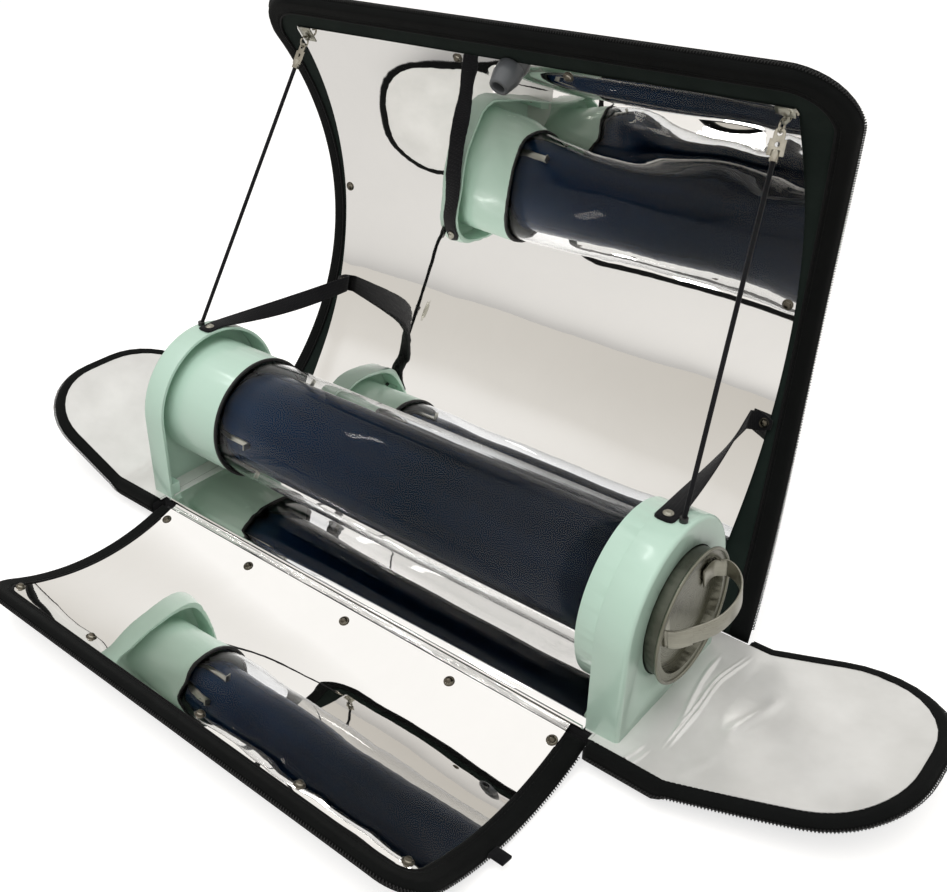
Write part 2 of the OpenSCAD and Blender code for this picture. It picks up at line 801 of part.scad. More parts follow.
module sight_cup() color("gray") on_back(0, back_mirror_s - sight_d / 3, 0.3) rotate([90, 0, 0])
    difference() {
        union() {
            cylinder(d = sight_d, h = sight_h * 0.45);
            translate([0, 0, sight_h * 0.45]) cylinder(d1 = sight_d, d2 = sight_d * 0.72, h = sight_h * 0.55);
        }
        translate([0, 0, sight_h * 0.4]) cylinder(d = sight_d * 0.45, h = sight_h);
    }

module sight_pin() color(steel) on_back(0, back_mirror_s - sight_d / 3, 0.3) rotate([90, 0, 0])
    translate([0, 0, sight_h * 0.4]) cylinder(d = 5, h = 3);

// CORDS AND STRAPS

// Ring of points round p, square to d
function ring_points(p, d, r, n) = let (
    u = cross(d, [1, 0, 0]) / norm(cross(d, [1, 0, 0])),
    v = cross(d, u)
) [for (i = [0 : n - 1]) p + r * (cos(i * 360 / n) * u + sin(i * 360 / n) * v)];

// Skin over a list of equal rings of points
module swept(rings) {
    n = len(rings[0]);
    m = len(rings);
    faces = concat(
        [[for (i = [0 : n - 1]) i]],
        [for (k = [0 : m - 2], i = [0 : n - 1]) [k * n + i, (k + 1) * n + i, (k + 1) * n + (i + 1) % n]],
        [for (k = [0 : m - 2], i = [0 : n - 1]) [k * n + i, (k + 1) * n + (i + 1) % n, k * n + (i + 1) % n]],
        [[for (i = [n - 1 : -1 : 0]) (m - 1) * n + i]]);
    polyhedron(points = [for (ring = rings) for (p = ring) p], faces = faces, convexity = 4);
}

module stay_cord() {
    steps = 24;
    end = eye + pull * (clip_l - crimp_l + cut);
    swept([for (k = [0 : steps])
        ring_points(cord_foot + (end - cord_foot) * k / steps, -pull, cord_d / 2, 8)]);
}

module left_cord() color(black) sided(-1) stay_cord();
module right_cord() color(black) sided(1) stay_cord();

// Sleeves that hold the cords in the tops of the brackets
module cord_anchors() color(black)
    for (side = [-1, 1]) sided(side)
        difference() {
            translate([outer_x - cord_inset, strap_y, top_z - bracket_wall - 3]) {
                cylinder(d = cord_d + 0.4, h = bracket_wall + 3);
                translate([0, 0, bracket_wall + 3]) cylinder(d = cord_d + 3, h = anchor_h);
            }
            aim(cord_foot + pull * 0.3, ring_c) cylinder(r = cord_d / 2 + 0.2, h = far / 10);
        }

// One end of a strap's cross-section: p on its face, w across it, n through it
function strap_section(p, w, n) = [p - w * strap_w / 2, p + w * strap_w / 2,
    p + w * strap_w / 2 + n * strap_t, p - w * strap_w / 2 + n * strap_t];

// Flat webbing that turns a quarter between the bracket's top and the back mirror
module webbing() {
    steps = 14;
    bend = 5;
    flat_z = top_z + pocket_clear;
    start = [strap_x, strap_y + strap_w / 2 + 2, flat_z];
    end_w = [0, -sin(arc_deg(strap_s, back_r) - back_lean), cos(arc_deg(strap_s, back_r) - back_lean)];
    end_n = [0, end_w[2], -end_w[1]];
    last = back_point(strap_stud_x, strap_s, strap_lift + strap_t, 0);
    turn_c = [last[0] - 7, last[1], last[2]] - end_n * bend;
    near = turn_c - [bend, 0, 0];
    difference() {
        swept(concat(
            [strap_section([strap_x, strap_y - strap_w / 2, flat_z], [1, 0, 0], [0, 0, 1])],
            [for (k = [0 : steps]) let (
                t = k / steps,
                w = cos(90 * t) * [1, 0, 0] + sin(90 * t) * end_w,
                n = cos(90 * t) * [0, 0, 1] - sin(90 * t) * [1, 0, 0]
            ) strap_section(start + (near - start) * t, w, n)],
            [for (b = [30, 60, 90])
                strap_section(turn_c + bend * (-cos(b) * [1, 0, 0] + sin(b) * end_n), end_w,
                              -cos(b) * [1, 0, 0] + sin(b) * end_n)],
            [strap_section(last + [7, 0, 0], end_w, end_n)]));
        translate([strap_x, strap_y, flat_z - cut]) cylinder(d = 3.4, h = strap_t + 2 * cut);
    }
}

module left_strap() color(black) sided(-1) webbing();
module right_strap() color(black) sided(1) webbing();

module strap_screws() color(steel)
    for (side = [-1, 1])
        translate([side * strap_x, strap_y, top_z + pocket_clear + strap_t + 0.1]) {
            translate([0, 0, -strap_t - bracket_wall]) cylinder(d = 3, h = strap_t + bracket_wall + cut);
            cylinder(d = 9, h = 1);
            translate([0, 0, 1]) cylinder(d1 = 7, d2 = 5, h = 1.4);
        }

// FRONT PANEL

module front_form(r0, r1, grow, a0) {
    intersection() {
        panel_slab(front_c, r0, r1, a0, front_end_a - 8);
        end_cut(front_c, front_end_a, front_w / 2, front_corner_r, 0, grow, -1);
    }
}

module front_cover() color(black) difference() {
    union() {
        front_form(front_in, front_out, 0, front_hinge_a);
        along_x(-front_w / 2 + 0.5, front_w / 2 - 0.5) translate([-front_hinge_y, front_hinge_z])
            circle(front_t / 2 - bead_step);
    }
    front_form(board_in(front_mid), board_out(front_mid), -board_margin + pocket_clear,
               front_hinge_a - arc_deg(board_margin, front_r));
}

module front_board() color("dimgray")
    front_form(board_in(front_mid) + pocket_clear, board_out(front_mid) - pocket_clear, -board_margin,
               front_hinge_a - arc_deg(board_margin + pocket_clear, front_r));

module front_mirror() color(mirrored) intersection() {
    panel_slab(front_c, front_r, front_in, front_hinge_a - front_mirror_start,
               front_end_a + arc_deg(front_far_margin, front_r));
    along_x(-front_mirror_half, front_mirror_half) square(far, center = true);
    end_cut(front_c, front_end_a, front_w / 2, front_corner_r, 0, -binding_w - front_strip / 2, -1);
}

module front_binding() color(black) difference() {
    front_form(front_in - binding_t, front_out + binding_t, binding_t, front_hinge_a - front_mirror_start);
    front_form(front_in, front_out, 0, front_hinge_a + 1);
    front_form(front_in - far / 10, front_out + far / 10, -binding_w, front_hinge_a + 2);
}

// Puts children on the front mirror: s runs along it from the hinge, -Y faces its centre
module on_front(x, s, lift) {
    a = front_hinge_a - arc_deg(s, front_r);
    translate([x, front_c[0], front_c[1]]) rotate([a, 0, 0]) translate([0, front_r - lift, 0]) children();
}

module front_upper_studs() color(steel) for (x = upper_stud_x) on_front(x, upper_stud_s, seat * 2) stud();
module front_lower_studs() color(steel) for (x = lower_stud_x) on_front(x, lower_stud_s, seat * 2) stud();

module front_pull() color("dimgray") on_front(front_w / 2 + binding_t + 0.2, pull_s, 0)
    translate([0, 1, -6]) cube([14, 3, 12]);

// FLAPS

// Angle on a circle where a straight edge from p runs into it, on the given side
function touch_angle(p, c, r, side) = atan2(p[1] - c[1], p[0] - c[0]) + side * acos(r / norm(p - c));

// Outline of a flap in (length from the crease, Y)
module flap_outline(drift, grow) {
    r = flap_corner_r;
    front = [flap_len - r, flap_mid_y + drift - flap_half + r];
    rear = [flap_len - r, flap_mid_y + drift + flap_half - r];
    foot_f = [0, flap_mid_y - flap_half - grow];
    foot_r = [0, flap_mid_y + flap_half + grow];
    polygon(concat(
        [foot_f],
        arc_points(front, r + grow, touch_angle(foot_f, front, r + grow, 1), 0, 20),
        arc_points(rear, r + grow, 0, touch_angle(foot_r, rear, r + grow, -1), 20),
        [foot_r]));
}

// Puts flat shapes on a flap: heights are measured from the flap's underside
module on_flap(tilt, z0, z1) {
    translate([crease_x, 0, flap_axis_z]) rotate([0, -tilt, 0])
        translate([0, 0, z0 - flap_full_t / 2]) linear_extrude(z1 - z0) children();
}

module beyond_crease() translate([flap_full_t, -far / 2]) square(far);

module flap_cover(tilt, drift) {
    on_flap(tilt, 0, flap_t) flap_outline(drift, 0);
    translate([crease_x, flap_mid_y, flap_axis_z]) rotate([90, 0, 0])
        cylinder(r = flap_full_t / 2 - bead_step, h = 2 * flap_half - 1, center = true);
}

module flap_lining(tilt, drift) {
    on_flap(tilt, flap_t, flap_full_t) intersection() {
        flap_outline(drift, -binding_w);
        beyond_crease();
    }
}

module flap_binding(tilt, drift) {
    difference() {
        on_flap(tilt, -binding_t, flap_full_t + binding_t) intersection() {
            difference() {
                flap_outline(drift, binding_t);
                flap_outline(drift, -binding_w);
            }
            beyond_crease();
        }
        flap_cover(tilt, drift);
    }
}

module left_flap_cover() color(black) sided(-1) flap_cover(left_tilt, 0);
module left_flap_lining() color(silver) sided(-1) flap_lining(left_tilt, 0);
module left_flap_binding() color(black) sided(-1) flap_binding(left_tilt, 0);
module right_flap_cover() color(black) sided(1) flap_cover(right_tilt, right_drift);
module right_flap_lining() color(silver) sided(1) flap_lining(right_tilt, right_drift);
module right_flap_binding() color(black) sided(1) flap_binding(right_tilt, right_drift);

base_cover();
base_board();
base_lining();
base_mirror();
base_binding();
front_lip();
feet();
rear_hinge_tape();
front_hinge_tape();
left_hinge_tape();
right_hinge_tape();
left_bracket();
right_bracket();
bracket_screws();
cup_seal();
mouth_seal();
dome_pad();
outer_glass();
inner_glass();
dome_spring();
strap_screws();
cord_anchors();
left_cord();
right_cord();
left_strap();
right_strap();
back_cover();
back_board();
back_mirror();
back_binding();
back_studs();
strap_studs();
left_cord_tab();
right_cord_tab();
left_cord_clip();
right_cord_clip();
sight_cup();
sight_pin();
front_cover();
front_board();
front_mirror();
front_binding();
front_upper_studs();
front_lower_studs();
front_pull();
left_flap_cover();
left_flap_lining();
left_flap_binding();
right_flap_cover();
right_flap_lining();
right_flap_binding();
tray();
stopper();
lid();
handle();
tray_rivets();
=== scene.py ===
import bpy
import bmesh
import math
from mathutils import Vector, Matrix, noise


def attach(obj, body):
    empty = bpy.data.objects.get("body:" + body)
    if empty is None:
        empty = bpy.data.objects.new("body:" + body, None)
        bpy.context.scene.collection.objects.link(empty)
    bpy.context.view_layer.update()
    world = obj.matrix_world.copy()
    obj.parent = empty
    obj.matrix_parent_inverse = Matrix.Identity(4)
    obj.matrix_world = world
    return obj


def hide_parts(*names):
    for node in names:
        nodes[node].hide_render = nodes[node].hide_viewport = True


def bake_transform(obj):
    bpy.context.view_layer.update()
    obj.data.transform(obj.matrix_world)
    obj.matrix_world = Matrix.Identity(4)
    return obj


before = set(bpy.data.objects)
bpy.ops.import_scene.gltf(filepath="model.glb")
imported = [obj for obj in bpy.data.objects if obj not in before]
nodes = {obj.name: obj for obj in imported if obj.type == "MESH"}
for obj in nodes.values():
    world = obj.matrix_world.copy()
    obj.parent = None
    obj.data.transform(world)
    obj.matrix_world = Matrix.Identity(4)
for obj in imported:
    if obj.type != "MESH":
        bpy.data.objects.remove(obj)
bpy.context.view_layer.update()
scene = bpy.context.scene
tau = math.tau
print("stage: frame loaded")

# camera, fitted to the photograph
view = {"place": (0.5917, -0.6851, 0.7029), "turn": (59.807, 1.144, 41.019), "lens": 43.0, "shift": (0.0902, -0.029)}
cameraData = bpy.data.cameras.new("camera")
cameraData.sensor_width = 36
cameraData.lens = view["lens"]
cameraData.shift_x, cameraData.shift_y = view["shift"]
cameraData.clip_start = 0.01
camera = bpy.data.objects.new("camera", cameraData)
camera.location = view["place"]
camera.rotation_euler = [math.radians(a) for a in view["turn"]]
scene.collection.objects.link(camera)
scene.camera = camera

# main sizes, as in the frame, in metres
axisZ = 0.1045
backCurve = {"centre": (-0.1240, 0.27313), "radius": 0.339, "lean": 49.0, "length": 0.5379}
frontCurve = {"centre": (-0.17227, 0.23671), "radius": 0.237, "lean": 70.0, "length": 0.2243}
hingeZ = 0.012
creaseX = 0.339


# a point of the back panel: s along its curve from the hinge, out from the mirror's face towards the tube
def backPoint(x, s, out):
    a = s / backCurve["radius"] - math.radians(backCurve["lean"])
    r = backCurve["radius"] - out
    return Vector((x, backCurve["centre"][0] + r * math.cos(a), backCurve["centre"][1] + r * math.sin(a)))


def frontPoint(x, s, out):
    a = -s / frontCurve["radius"] - math.radians(frontCurve["lean"])
    r = frontCurve["radius"] - out
    return Vector((x, frontCurve["centre"][0] + r * math.cos(a), frontCurve["centre"][1] + r * math.sin(a)))


def basePoint(x, y, out):
    return Vector((x, y, out))


def smoothStep(a, b, v):
    t = min(1, max(0, (v - a) / (b - a)))
    return t * t * (3 - 2 * t)


# a point of a flap and the ear of the base beside it: w runs out from the crease, out is above the lining's face
def flapPoint(side, tilt, curl=0.0, bend=0.010, step=0.0005):
    def slope(w):
        return math.radians(tilt) * smoothStep(-bend, bend, w) + math.radians(curl) * (max(0, w) / 0.165) ** 3
    table = [(0.0, 0.0, 0.0)]
    while table[-1][0] < 0.25:
        w, x, z = table[-1]
        a = slope(w + step / 2)
        table.append((w + step, x + step * math.cos(a), z + step * math.sin(a)))

    def place(w, y, out):
        a = slope(w)
        if w <= 0:
            x, z = w, 0.0
        else:
            k = min(int(w / step), len(table) - 2)
            x, z = table[k][1] + (w - table[k][0]) * math.cos(a), table[k][2] + (w - table[k][0]) * math.sin(a)
        return Vector((side * (creaseX + x - out * math.sin(a)), y, 0.016 + z + out * math.cos(a)))
    return place


# ---- meshes
def newPiece(name, bm, body, material, replaces=(), smooth=True, sharp=None):
    for e in bm.edges if sharp else ():
        e.smooth = len(e.link_faces) != 2 or e.calc_face_angle(0) < math.radians(sharp)
    mesh = bpy.data.meshes.new(name)
    bm.to_mesh(mesh)
    bm.free()
    piece = bpy.data.objects.new(name, mesh)
    scene.collection.objects.link(piece)
    for m in (material if isinstance(material, (list, tuple)) else [material]):
        mesh.materials.append(finish[m])
    for p in mesh.polygons:
        p.use_smooth = smooth
    if replaces:
        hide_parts(*replaces)
    if body:
        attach(piece, body)
    return piece


# points of an outline moved inwards by d; corners are (x, y, radius) taken anticlockwise
def outlinePoints(corners, d, segments=10):
    lines = []
    for (x0, y0, r0), (x1, y1, r1) in zip(corners, corners[1:] + corners[:1]):
        t = Vector((x1 - x0, y1 - y0)).normalized()
        lines.append((Vector((x0, y0)) + Vector((-t.y, t.x)) * d, t))
    points = []
    for k, (x, y, r) in enumerate(corners):
        (p0, t0), (p1, t1) = lines[k - 1], lines[k]
        cross, gap = t0.cross(t1), p1 - p0
        c = p0 + t0 * (gap.cross(t1) / cross) if abs(cross) > 1e-6 else p1
        if r == 0:
            points.append(c)
            continue
        bend = 1 if cross > 0 else -1
        rr = max(r - bend * d, 0.0004)
        half = math.atan2(cross, t0.dot(t1)) / 2
        a = c - t0 * rr * math.tan(abs(half))
        centre = a + Vector((-t0.y, t0.x)) * rr * bend
        for j in range(segments + 1):
            points.append(centre + Matrix.Rotation(2 * half * j / segments, 2) @ (a - centre))
    return points


# sheet with rings at growing distances from its edge, kept in a layer, then cut so that it can bend
def ringed(corners, steps, cuts, segments=10):
    bm = bmesh.new()
    edge = bm.verts.layers.float.new("edge")
    paths = {d: outlinePoints(corners, d, segments) for d in steps}
    inner = bm.faces.new([bm.verts.new((*p, 0)) for p in paths[steps[0]]])
    for v in inner.verts:
        v[edge] = steps[0]
    for d in steps[1:]:
        bmesh.ops.inset_region(bm, faces=[inner], thickness=0.00001, use_even_offset=False, use_boundary=True)
        for l, p in zip(inner.loops, paths[d]):
            l.vert.co = (*p, 0)
            l.vert[edge] = d
    for axis, places in cuts:
        for c in places:
            co = (c, 0, 0) if axis == 0 else (0, c, 0)
            bmesh.ops.bisect_plane(bm, geom=bm.verts[:] + bm.edges[:] + bm.faces[:], dist=0.00001, plane_co=co,
                                   plane_no=(1, 0, 0) if axis == 0 else (0, 1, 0))
    return bm, edge, paths


# gives a ringed sheet two sides; shell(x, y, d) gives the lower and upper heights
def thickened(bm, edge, shell, place, warp=None, upMaterial=0, downMaterial=1):
    top = bmesh.ops.extrude_face_region(bm, geom=bm.faces[:], use_keep_orig=True)["geom"]
    upper = set(v for v in top if isinstance(v, bmesh.types.BMVert))
    upFaces = set(f for f in top if isinstance(f, bmesh.types.BMFace))
    uv = bm.loops.layers.uv.new("cloth")
    for f in bm.faces:
        f.material_index = upMaterial if f in upFaces else downMaterial
        for l in f.loops:
            l[uv].uv = l.vert.co[:2]
    for v in bm.verts:
        x, y = v.co[:2]
        low, high = shell(x, y, v[edge] if edge else 0)
        x, y = warp(x, y) if warp else (x, y)
        v.co = place(x, y, high if v in upper else low)
    bmesh.ops.recalc_face_normals(bm, faces=bm.faces)
    return bm


# evenly spaced points with their directions along a closed or open run of points
def evenly(points, pitch, closed=True):
    pts = [Vector(p) for p in points]
    if closed:
        pts.append(pts[0])
    lengths = [0.0]
    for a, b in zip(pts, pts[1:]):
        lengths.append(lengths[-1] + (b - a).length)
    count = max(3, round(lengths[-1] / pitch))
    out, k = [], 0
    for i in range(count):
        want = lengths[-1] * (i + (0 if closed else 0.5)) / count
        while k < len(pts) - 2 and lengths[k + 1] < want:
            k += 1
        t = (want - lengths[k]) / max(1e-9, lengths[k + 1] - lengths[k])
        out.append((pts[k].lerp(pts[k + 1], t), (pts[k + 1] - pts[k]).normalized()))
    return out


# round section swept along 3D points, as a mesh with its own UV: length along, turn around
def sweptTube(bm, points, radius, sides=8, closed=False, squashZ=1.0, caps=True):
    rings = []
    n = len(points)
    uv = bm.loops.layers.uv.verify()
    normal = None
    run = 0.0
    runs = []
    for i, p in enumerate(points):
        before = points[i - 1] if i or closed else p
        after = points[(i + 1) % n] if i < n - 1 or closed else p
        t = (after - before).normalized()
        if normal is None:
            normal = t.orthogonal().normalized()
        normal = (normal - t * normal.dot(t)).normalized()
        side = t.cross(normal)
        r = radius(i / max(1, n - 1)) if callable(radius) else radius
        rings.append([bm.verts.new(p + r * (math.cos(tau * k / sides) * normal + squashZ * math.sin(tau * k / sides) * side))
                      for k in range(sides)])
        runs.append(run)
        if i < n - 1:
            run += (points[i + 1] - p).length
    pairs = list(zip(range(n - 1), range(1, n))) + ([(n - 1, 0)] if closed else [])
    for a, b in pairs:
        for k in range(sides):
            j = (k + 1) % sides
            f = bm.faces.new((rings[a][k], rings[a][j], rings[b][j], rings[b][k]))
            high = runs[b] if b else run
            for l, (u, v) in zip(f.loops, ((runs[a], k), (runs[a], k + 1), (high, k + 1), (high, k))):
                l[uv].uv = (u, v / sides * tau * 0.002)
    if caps and not closed:
        bm.faces.new(list(reversed(rings[0])))
        bm.faces.new(rings[-1])
    return rings


# small stitches laid along a path; place maps flat points to the panel
def stitchRow(bm, path, place, height, pitch=0.0042, length=0.0028, width=0.0007, closed=True, keep=None):
    for p, t in evenly(path, pitch, closed):
        if keep and not keep(p):
            continue
        a, b = place(*(p - t * length / 2), height(p)), place(*(p + t * length / 2), height(p))
        m, d = (a + b) / 2, (b - a)
        up = (place(*p, height(p) + 0.001) - place(*p, height(p))).normalized()
        side = up.cross(d).normalized()
        turn = Matrix((d.normalized(), side, up)).transposed().to_4x4()
        size = Matrix.Diagonal((d.length, width, width * 0.7, 1))
        bmesh.ops.create_cube(bm, size=1, matrix=Matrix.Translation(m) @ turn @ size)


# coil of a zip, wound along a path beside the panel's edge
def zipCoil(bm, path, place, height, out=0.0007, pitch=0.0026, across=0.0013, wire=0.0005, closed=True, keep=None):
    spots = evenly(path, pitch / 6, closed)
    run = []
    for i, (p, t) in enumerate(spots):
        side = Vector((t.y, -t.x))
        a = tau * i / 6
        q = p + side * (out + across * math.cos(a) * 0.7)
        if keep and not keep(p):
            if len(run) > 8:
                sweptTube(bm, run, wire, 4)
            run = []
            continue
        run.append(place(q.x, q.y, height(p) + across * math.sin(a)))
    if len(run) > 8:
        sweptTube(bm, run, wire, 4)


# copy of a rigid CAD node with its hard edges rounded a little
def softEdged(node, body, material, width=0.0006, segments=2, angle=32, name=None):
    bm = bmesh.new()
    bm.from_mesh(nodes[node].data)
    bmesh.ops.remove_doubles(bm, verts=bm.verts, dist=0.000004)
    bmesh.ops.dissolve_limit(bm, angle_limit=math.radians(0.6), verts=bm.verts, edges=bm.edges)
    piece = newPiece(name or node.replace("_", " ").title().replace(" ", ""), bm, body, material, [node])
    mod = piece.modifiers.new("edges", "BEVEL")
    mod.width = width
    mod.segments = segments
    mod.limit_method = "ANGLE"
    mod.angle_limit = math.radians(angle)
    mod.use_clamp_overlap = True
    mod.harden_normals = True
    return piece


# ---- materials
def startMaterial(name):
    m = bpy.data.materials.new(name)
    m.use_nodes = True
    return m, m.node_tree, m.node_tree.nodes["Principled BSDF"]


def link(nt, a, b):
    nt.links.new(a, b)


def coordinates(nt, kind="Object", scale=(1, 1, 1), place=(0, 0, 0), turn=(0, 0, 0)):
    tc = nt.nodes.new("ShaderNodeTexCoord")
    mp = nt.nodes.new("ShaderNodeMapping")
    mp.inputs["Scale"].default_value = scale
    mp.inputs["Location"].default_value = place
    mp.inputs["Rotation"].default_value = turn
    link(nt, tc.outputs[kind], mp.inputs["Vector"])
    return mp.outputs["Vector"]


def noiseNode(nt, vector, scale, detail=3, rough=0.5, distortion=0.0):
    n = nt.nodes.new("ShaderNodeTexNoise")
    n.inputs["Scale"].default_value = scale
    n.inputs["Detail"].default_value = detail
    n.inputs["Roughness"].default_value = rough
    n.inputs["Distortion"].default_value = distortion
    link(nt, vector, n.inputs["Vector"])
    return n.outputs["Fac"]


def rampNode(nt, fac, stops):
    r = nt.nodes.new("ShaderNodeValToRGB")
    e = r.color_ramp.elements
    while len(e) < len(stops):
        e.new(0.5)
    for k, (p, c) in enumerate(stops):
        e[k].position = p
        e[k].color = (*c, 1)
    link(nt, fac, r.inputs["Fac"])
    return r.outputs["Color"]


def mathNode(nt, kind, a, b=None, c=None):
    n = nt.nodes.new("ShaderNodeMath")
    n.operation = kind
    for i, v in enumerate((a, b, c)):
        if v is None:
            continue
        if isinstance(v, (int, float)):
            n.inputs[i].default_value = v
        else:
            link(nt, v, n.inputs[i])
    return n.outputs[0]


def bumpNode(nt, height, strength, distance, after=None):
    b = nt.nodes.new("ShaderNodeBump")
    b.inputs["Strength"].default_value = strength
    b.inputs["Distance"].default_value = distance
    link(nt, height, b.inputs["Height"])
    if after is not None:
        link(nt, after, b.inputs["Normal"])
    return b.outputs["Normal"]


def waveNode(nt, vector, pitch, direction="X", distortion=0.0):
    w = nt.nodes.new("ShaderNodeTexWave")
    w.bands_direction = direction
    w.inputs["Scale"].default_value = tau / 20 / pitch
    w.inputs["Distortion"].default_value = distortion
    link(nt, vector, w.inputs["Vector"])
    return w.outputs["Fac"]


# woven cloth: crossed threads over a slow change of shade; on UV it follows the sheet
def clothMaterial(name, low, high, thread=0.0009, rough=0.85, kind="UV", sheen=0.1, bump=0.35, diagonal=0.0):
    m, nt, bsdf = startMaterial(name)
    v = coordinates(nt, kind, turn=(0, 0, diagonal))
    slow = noiseNode(nt, coordinates(nt), 22, 5, 0.6)
    threads = mathNode(nt, "MULTIPLY", waveNode(nt, v, thread, "X"), waveNode(nt, v, thread, "Y"))
    both = mathNode(nt, "ADD", mathNode(nt, "MULTIPLY", threads, 0.35), mathNode(nt, "MULTIPLY", slow, 0.65))
    link(nt, rampNode(nt, both, [(0.25, low), (0.7, high)]), bsdf.inputs["Base Color"])
    bsdf.inputs["Roughness"].default_value = rough
    bsdf.inputs["Sheen Weight"].default_value = sheen
    bsdf.inputs["Sheen Roughness"].default_value = 0.45
    bsdf.inputs["Specular IOR Level"].default_value = 0.12
    link(nt, bumpNode(nt, threads, bump, 0.0003, bumpNode(nt, slow, 0.25, 0.002)), bsdf.inputs["Normal"])
    return m


# coated silver cloth: satin, with a fine weave that barely shows and soft crumples
def liningMaterial(name):
    m, nt, bsdf = startMaterial(name)
    v = coordinates(nt, "UV")
    slow = noiseNode(nt, v, 14, 4, 0.55)
    link(nt, rampNode(nt, slow, [(0.3, (0.66, 0.65, 0.625)), (0.7, (0.80, 0.79, 0.765))]), bsdf.inputs["Base Color"])
    bsdf.inputs["Metallic"].default_value = 0.25
    link(nt, mathNode(nt, "MULTIPLY_ADD", noiseNode(nt, v, 40, 4, 0.6), 0.14, 0.16), bsdf.inputs["Roughness"])
    bsdf.inputs["Specular IOR Level"].default_value = 0.5
    threads = mathNode(nt, "MULTIPLY", waveNode(nt, v, 0.0006, "X"), waveNode(nt, v, 0.0006, "Y"))
    crumple = noiseNode(nt, v, 30, 4, 0.5, 0.5)
    link(nt, bumpNode(nt, threads, 0.06, 0.0002, bumpNode(nt, crumple, 0.25, 0.0012)), bsdf.inputs["Normal"])
    return m


# bright film: a mirror with slow waves and faint rub marks
def filmMaterial(name, tint, rough, wave, ripple):
    m, nt, bsdf = startMaterial(name)
    v = coordinates(nt, "UV")
    bsdf.inputs["Metallic"].default_value = 1.0
    marks = noiseNode(nt, v, 9, 6, 0.7, 0.4)
    link(nt, rampNode(nt, marks, [(0.3, [t * 0.97 for t in tint]), (0.7, tint)]), bsdf.inputs["Base Color"])
    bsdf.inputs["Roughness"].default_value = rough
    slow = noiseNode(nt, v, 7, 1, 0.3, 0.3)
    fast = noiseNode(nt, v, 45, 2, 0.5)
    link(nt, bumpNode(nt, fast, 1.0, ripple, bumpNode(nt, slow, 1.0, wave)), bsdf.inputs["Normal"])
    return m


# moulded plastic with a fine grain and faint scuffs
def plasticMaterial(name, colour, shade, rough=0.32, coat=0.1, grain=0.00005):
    m, nt, bsdf = startMaterial(name)
    v = coordinates(nt)
    link(nt, rampNode(nt, noiseNode(nt, v, 9, 3), [(0.3, shade), (0.7, colour)]), bsdf.inputs["Base Color"])
    link(nt, mathNode(nt, "MULTIPLY_ADD", noiseNode(nt, v, 25, 3, 0.5), 0.06, rough - 0.03), bsdf.inputs["Roughness"])
    bsdf.inputs["Coat Weight"].default_value = coat
    bsdf.inputs["Coat Roughness"].default_value = 0.12
    wavy = bumpNode(nt, noiseNode(nt, v, 14, 2), 0.35, 0.0008)
    link(nt, bumpNode(nt, noiseNode(nt, v, 900, 2), 0.5, grain, wavy), bsdf.inputs["Normal"])
    return m


# metal: brushed one way, turned about the tube's axis, or plain
def metalMaterial(name, colour, shade, rough=0.28, direction=None, turned=False, scratch=0.0002):
    m, nt, bsdf = startMaterial(name)
    bsdf.inputs["Metallic"].default_value = 1.0
    if turned:
        mp = coordinates(nt, "Object", place=(0, 0, -axisZ))
        sep = nt.nodes.new("ShaderNodeSeparateXYZ")
        link(nt, mp, sep.inputs["Vector"])
        squares = [mathNode(nt, "MULTIPLY", sep.outputs[k], sep.outputs[k]) for k in ("Y", "Z")]
        n = nt.nodes.new("ShaderNodeTexNoise")
        n.noise_dimensions = "1D"
        n.inputs["Scale"].default_value = 1100
        n.inputs["Detail"].default_value = 4
        link(nt, mathNode(nt, "SQRT", mathNode(nt, "ADD", *squares)), n.inputs["W"])
        streak = n.outputs["Fac"]
    else:
        streak = noiseNode(nt, coordinates(nt, "Object", direction or (1, 1, 1)), 90, 5, 0.65)
    cloud = noiseNode(nt, coordinates(nt), 30, 4, 0.6)
    both = mathNode(nt, "ADD", mathNode(nt, "MULTIPLY", streak, 0.5), mathNode(nt, "MULTIPLY", cloud, 0.5))
    link(nt, rampNode(nt, both, [(0.3, shade), (0.7, colour)]), bsdf.inputs["Base Color"])
    link(nt, mathNode(nt, "MULTIPLY_ADD", both, 0.25, rough - 0.12), bsdf.inputs["Roughness"])
    link(nt, bumpNode(nt, streak, 0.35, scratch), bsdf.inputs["Normal"])
    return m


def rubberMaterial(name, colour, rough=0.6):
    m, nt, bsdf = startMaterial(name)
    v = coordinates(nt)
    link(nt, rampNode(nt, noiseNode(nt, v, 40, 4), [(0.3, [c * 0.7 for c in colour]), (0.7, colour)]),
         bsdf.inputs["Base Color"])
    bsdf.inputs["Roughness"].default_value = rough
    link(nt, bumpNode(nt, noiseNode(nt, v, 500, 2), 0.4, 0.0002), bsdf.inputs["Normal"])
    return m


def glassMaterial(name):
    m, nt, bsdf = startMaterial(name)
    bsdf.inputs["Base Color"].default_value = (0.985, 0.99, 0.995, 1)
    bsdf.inputs["Transmission Weight"].default_value = 1.0
    bsdf.inputs["IOR"].default_value = 1.17
    bsdf.inputs["Roughness"].default_value = 0.0
    link(nt, bumpNode(nt, noiseNode(nt, coordinates(nt, "Object", (0.1, 1, 1)), 8, 1), 0.1, 0.0001), bsdf.inputs["Normal"])
    return m


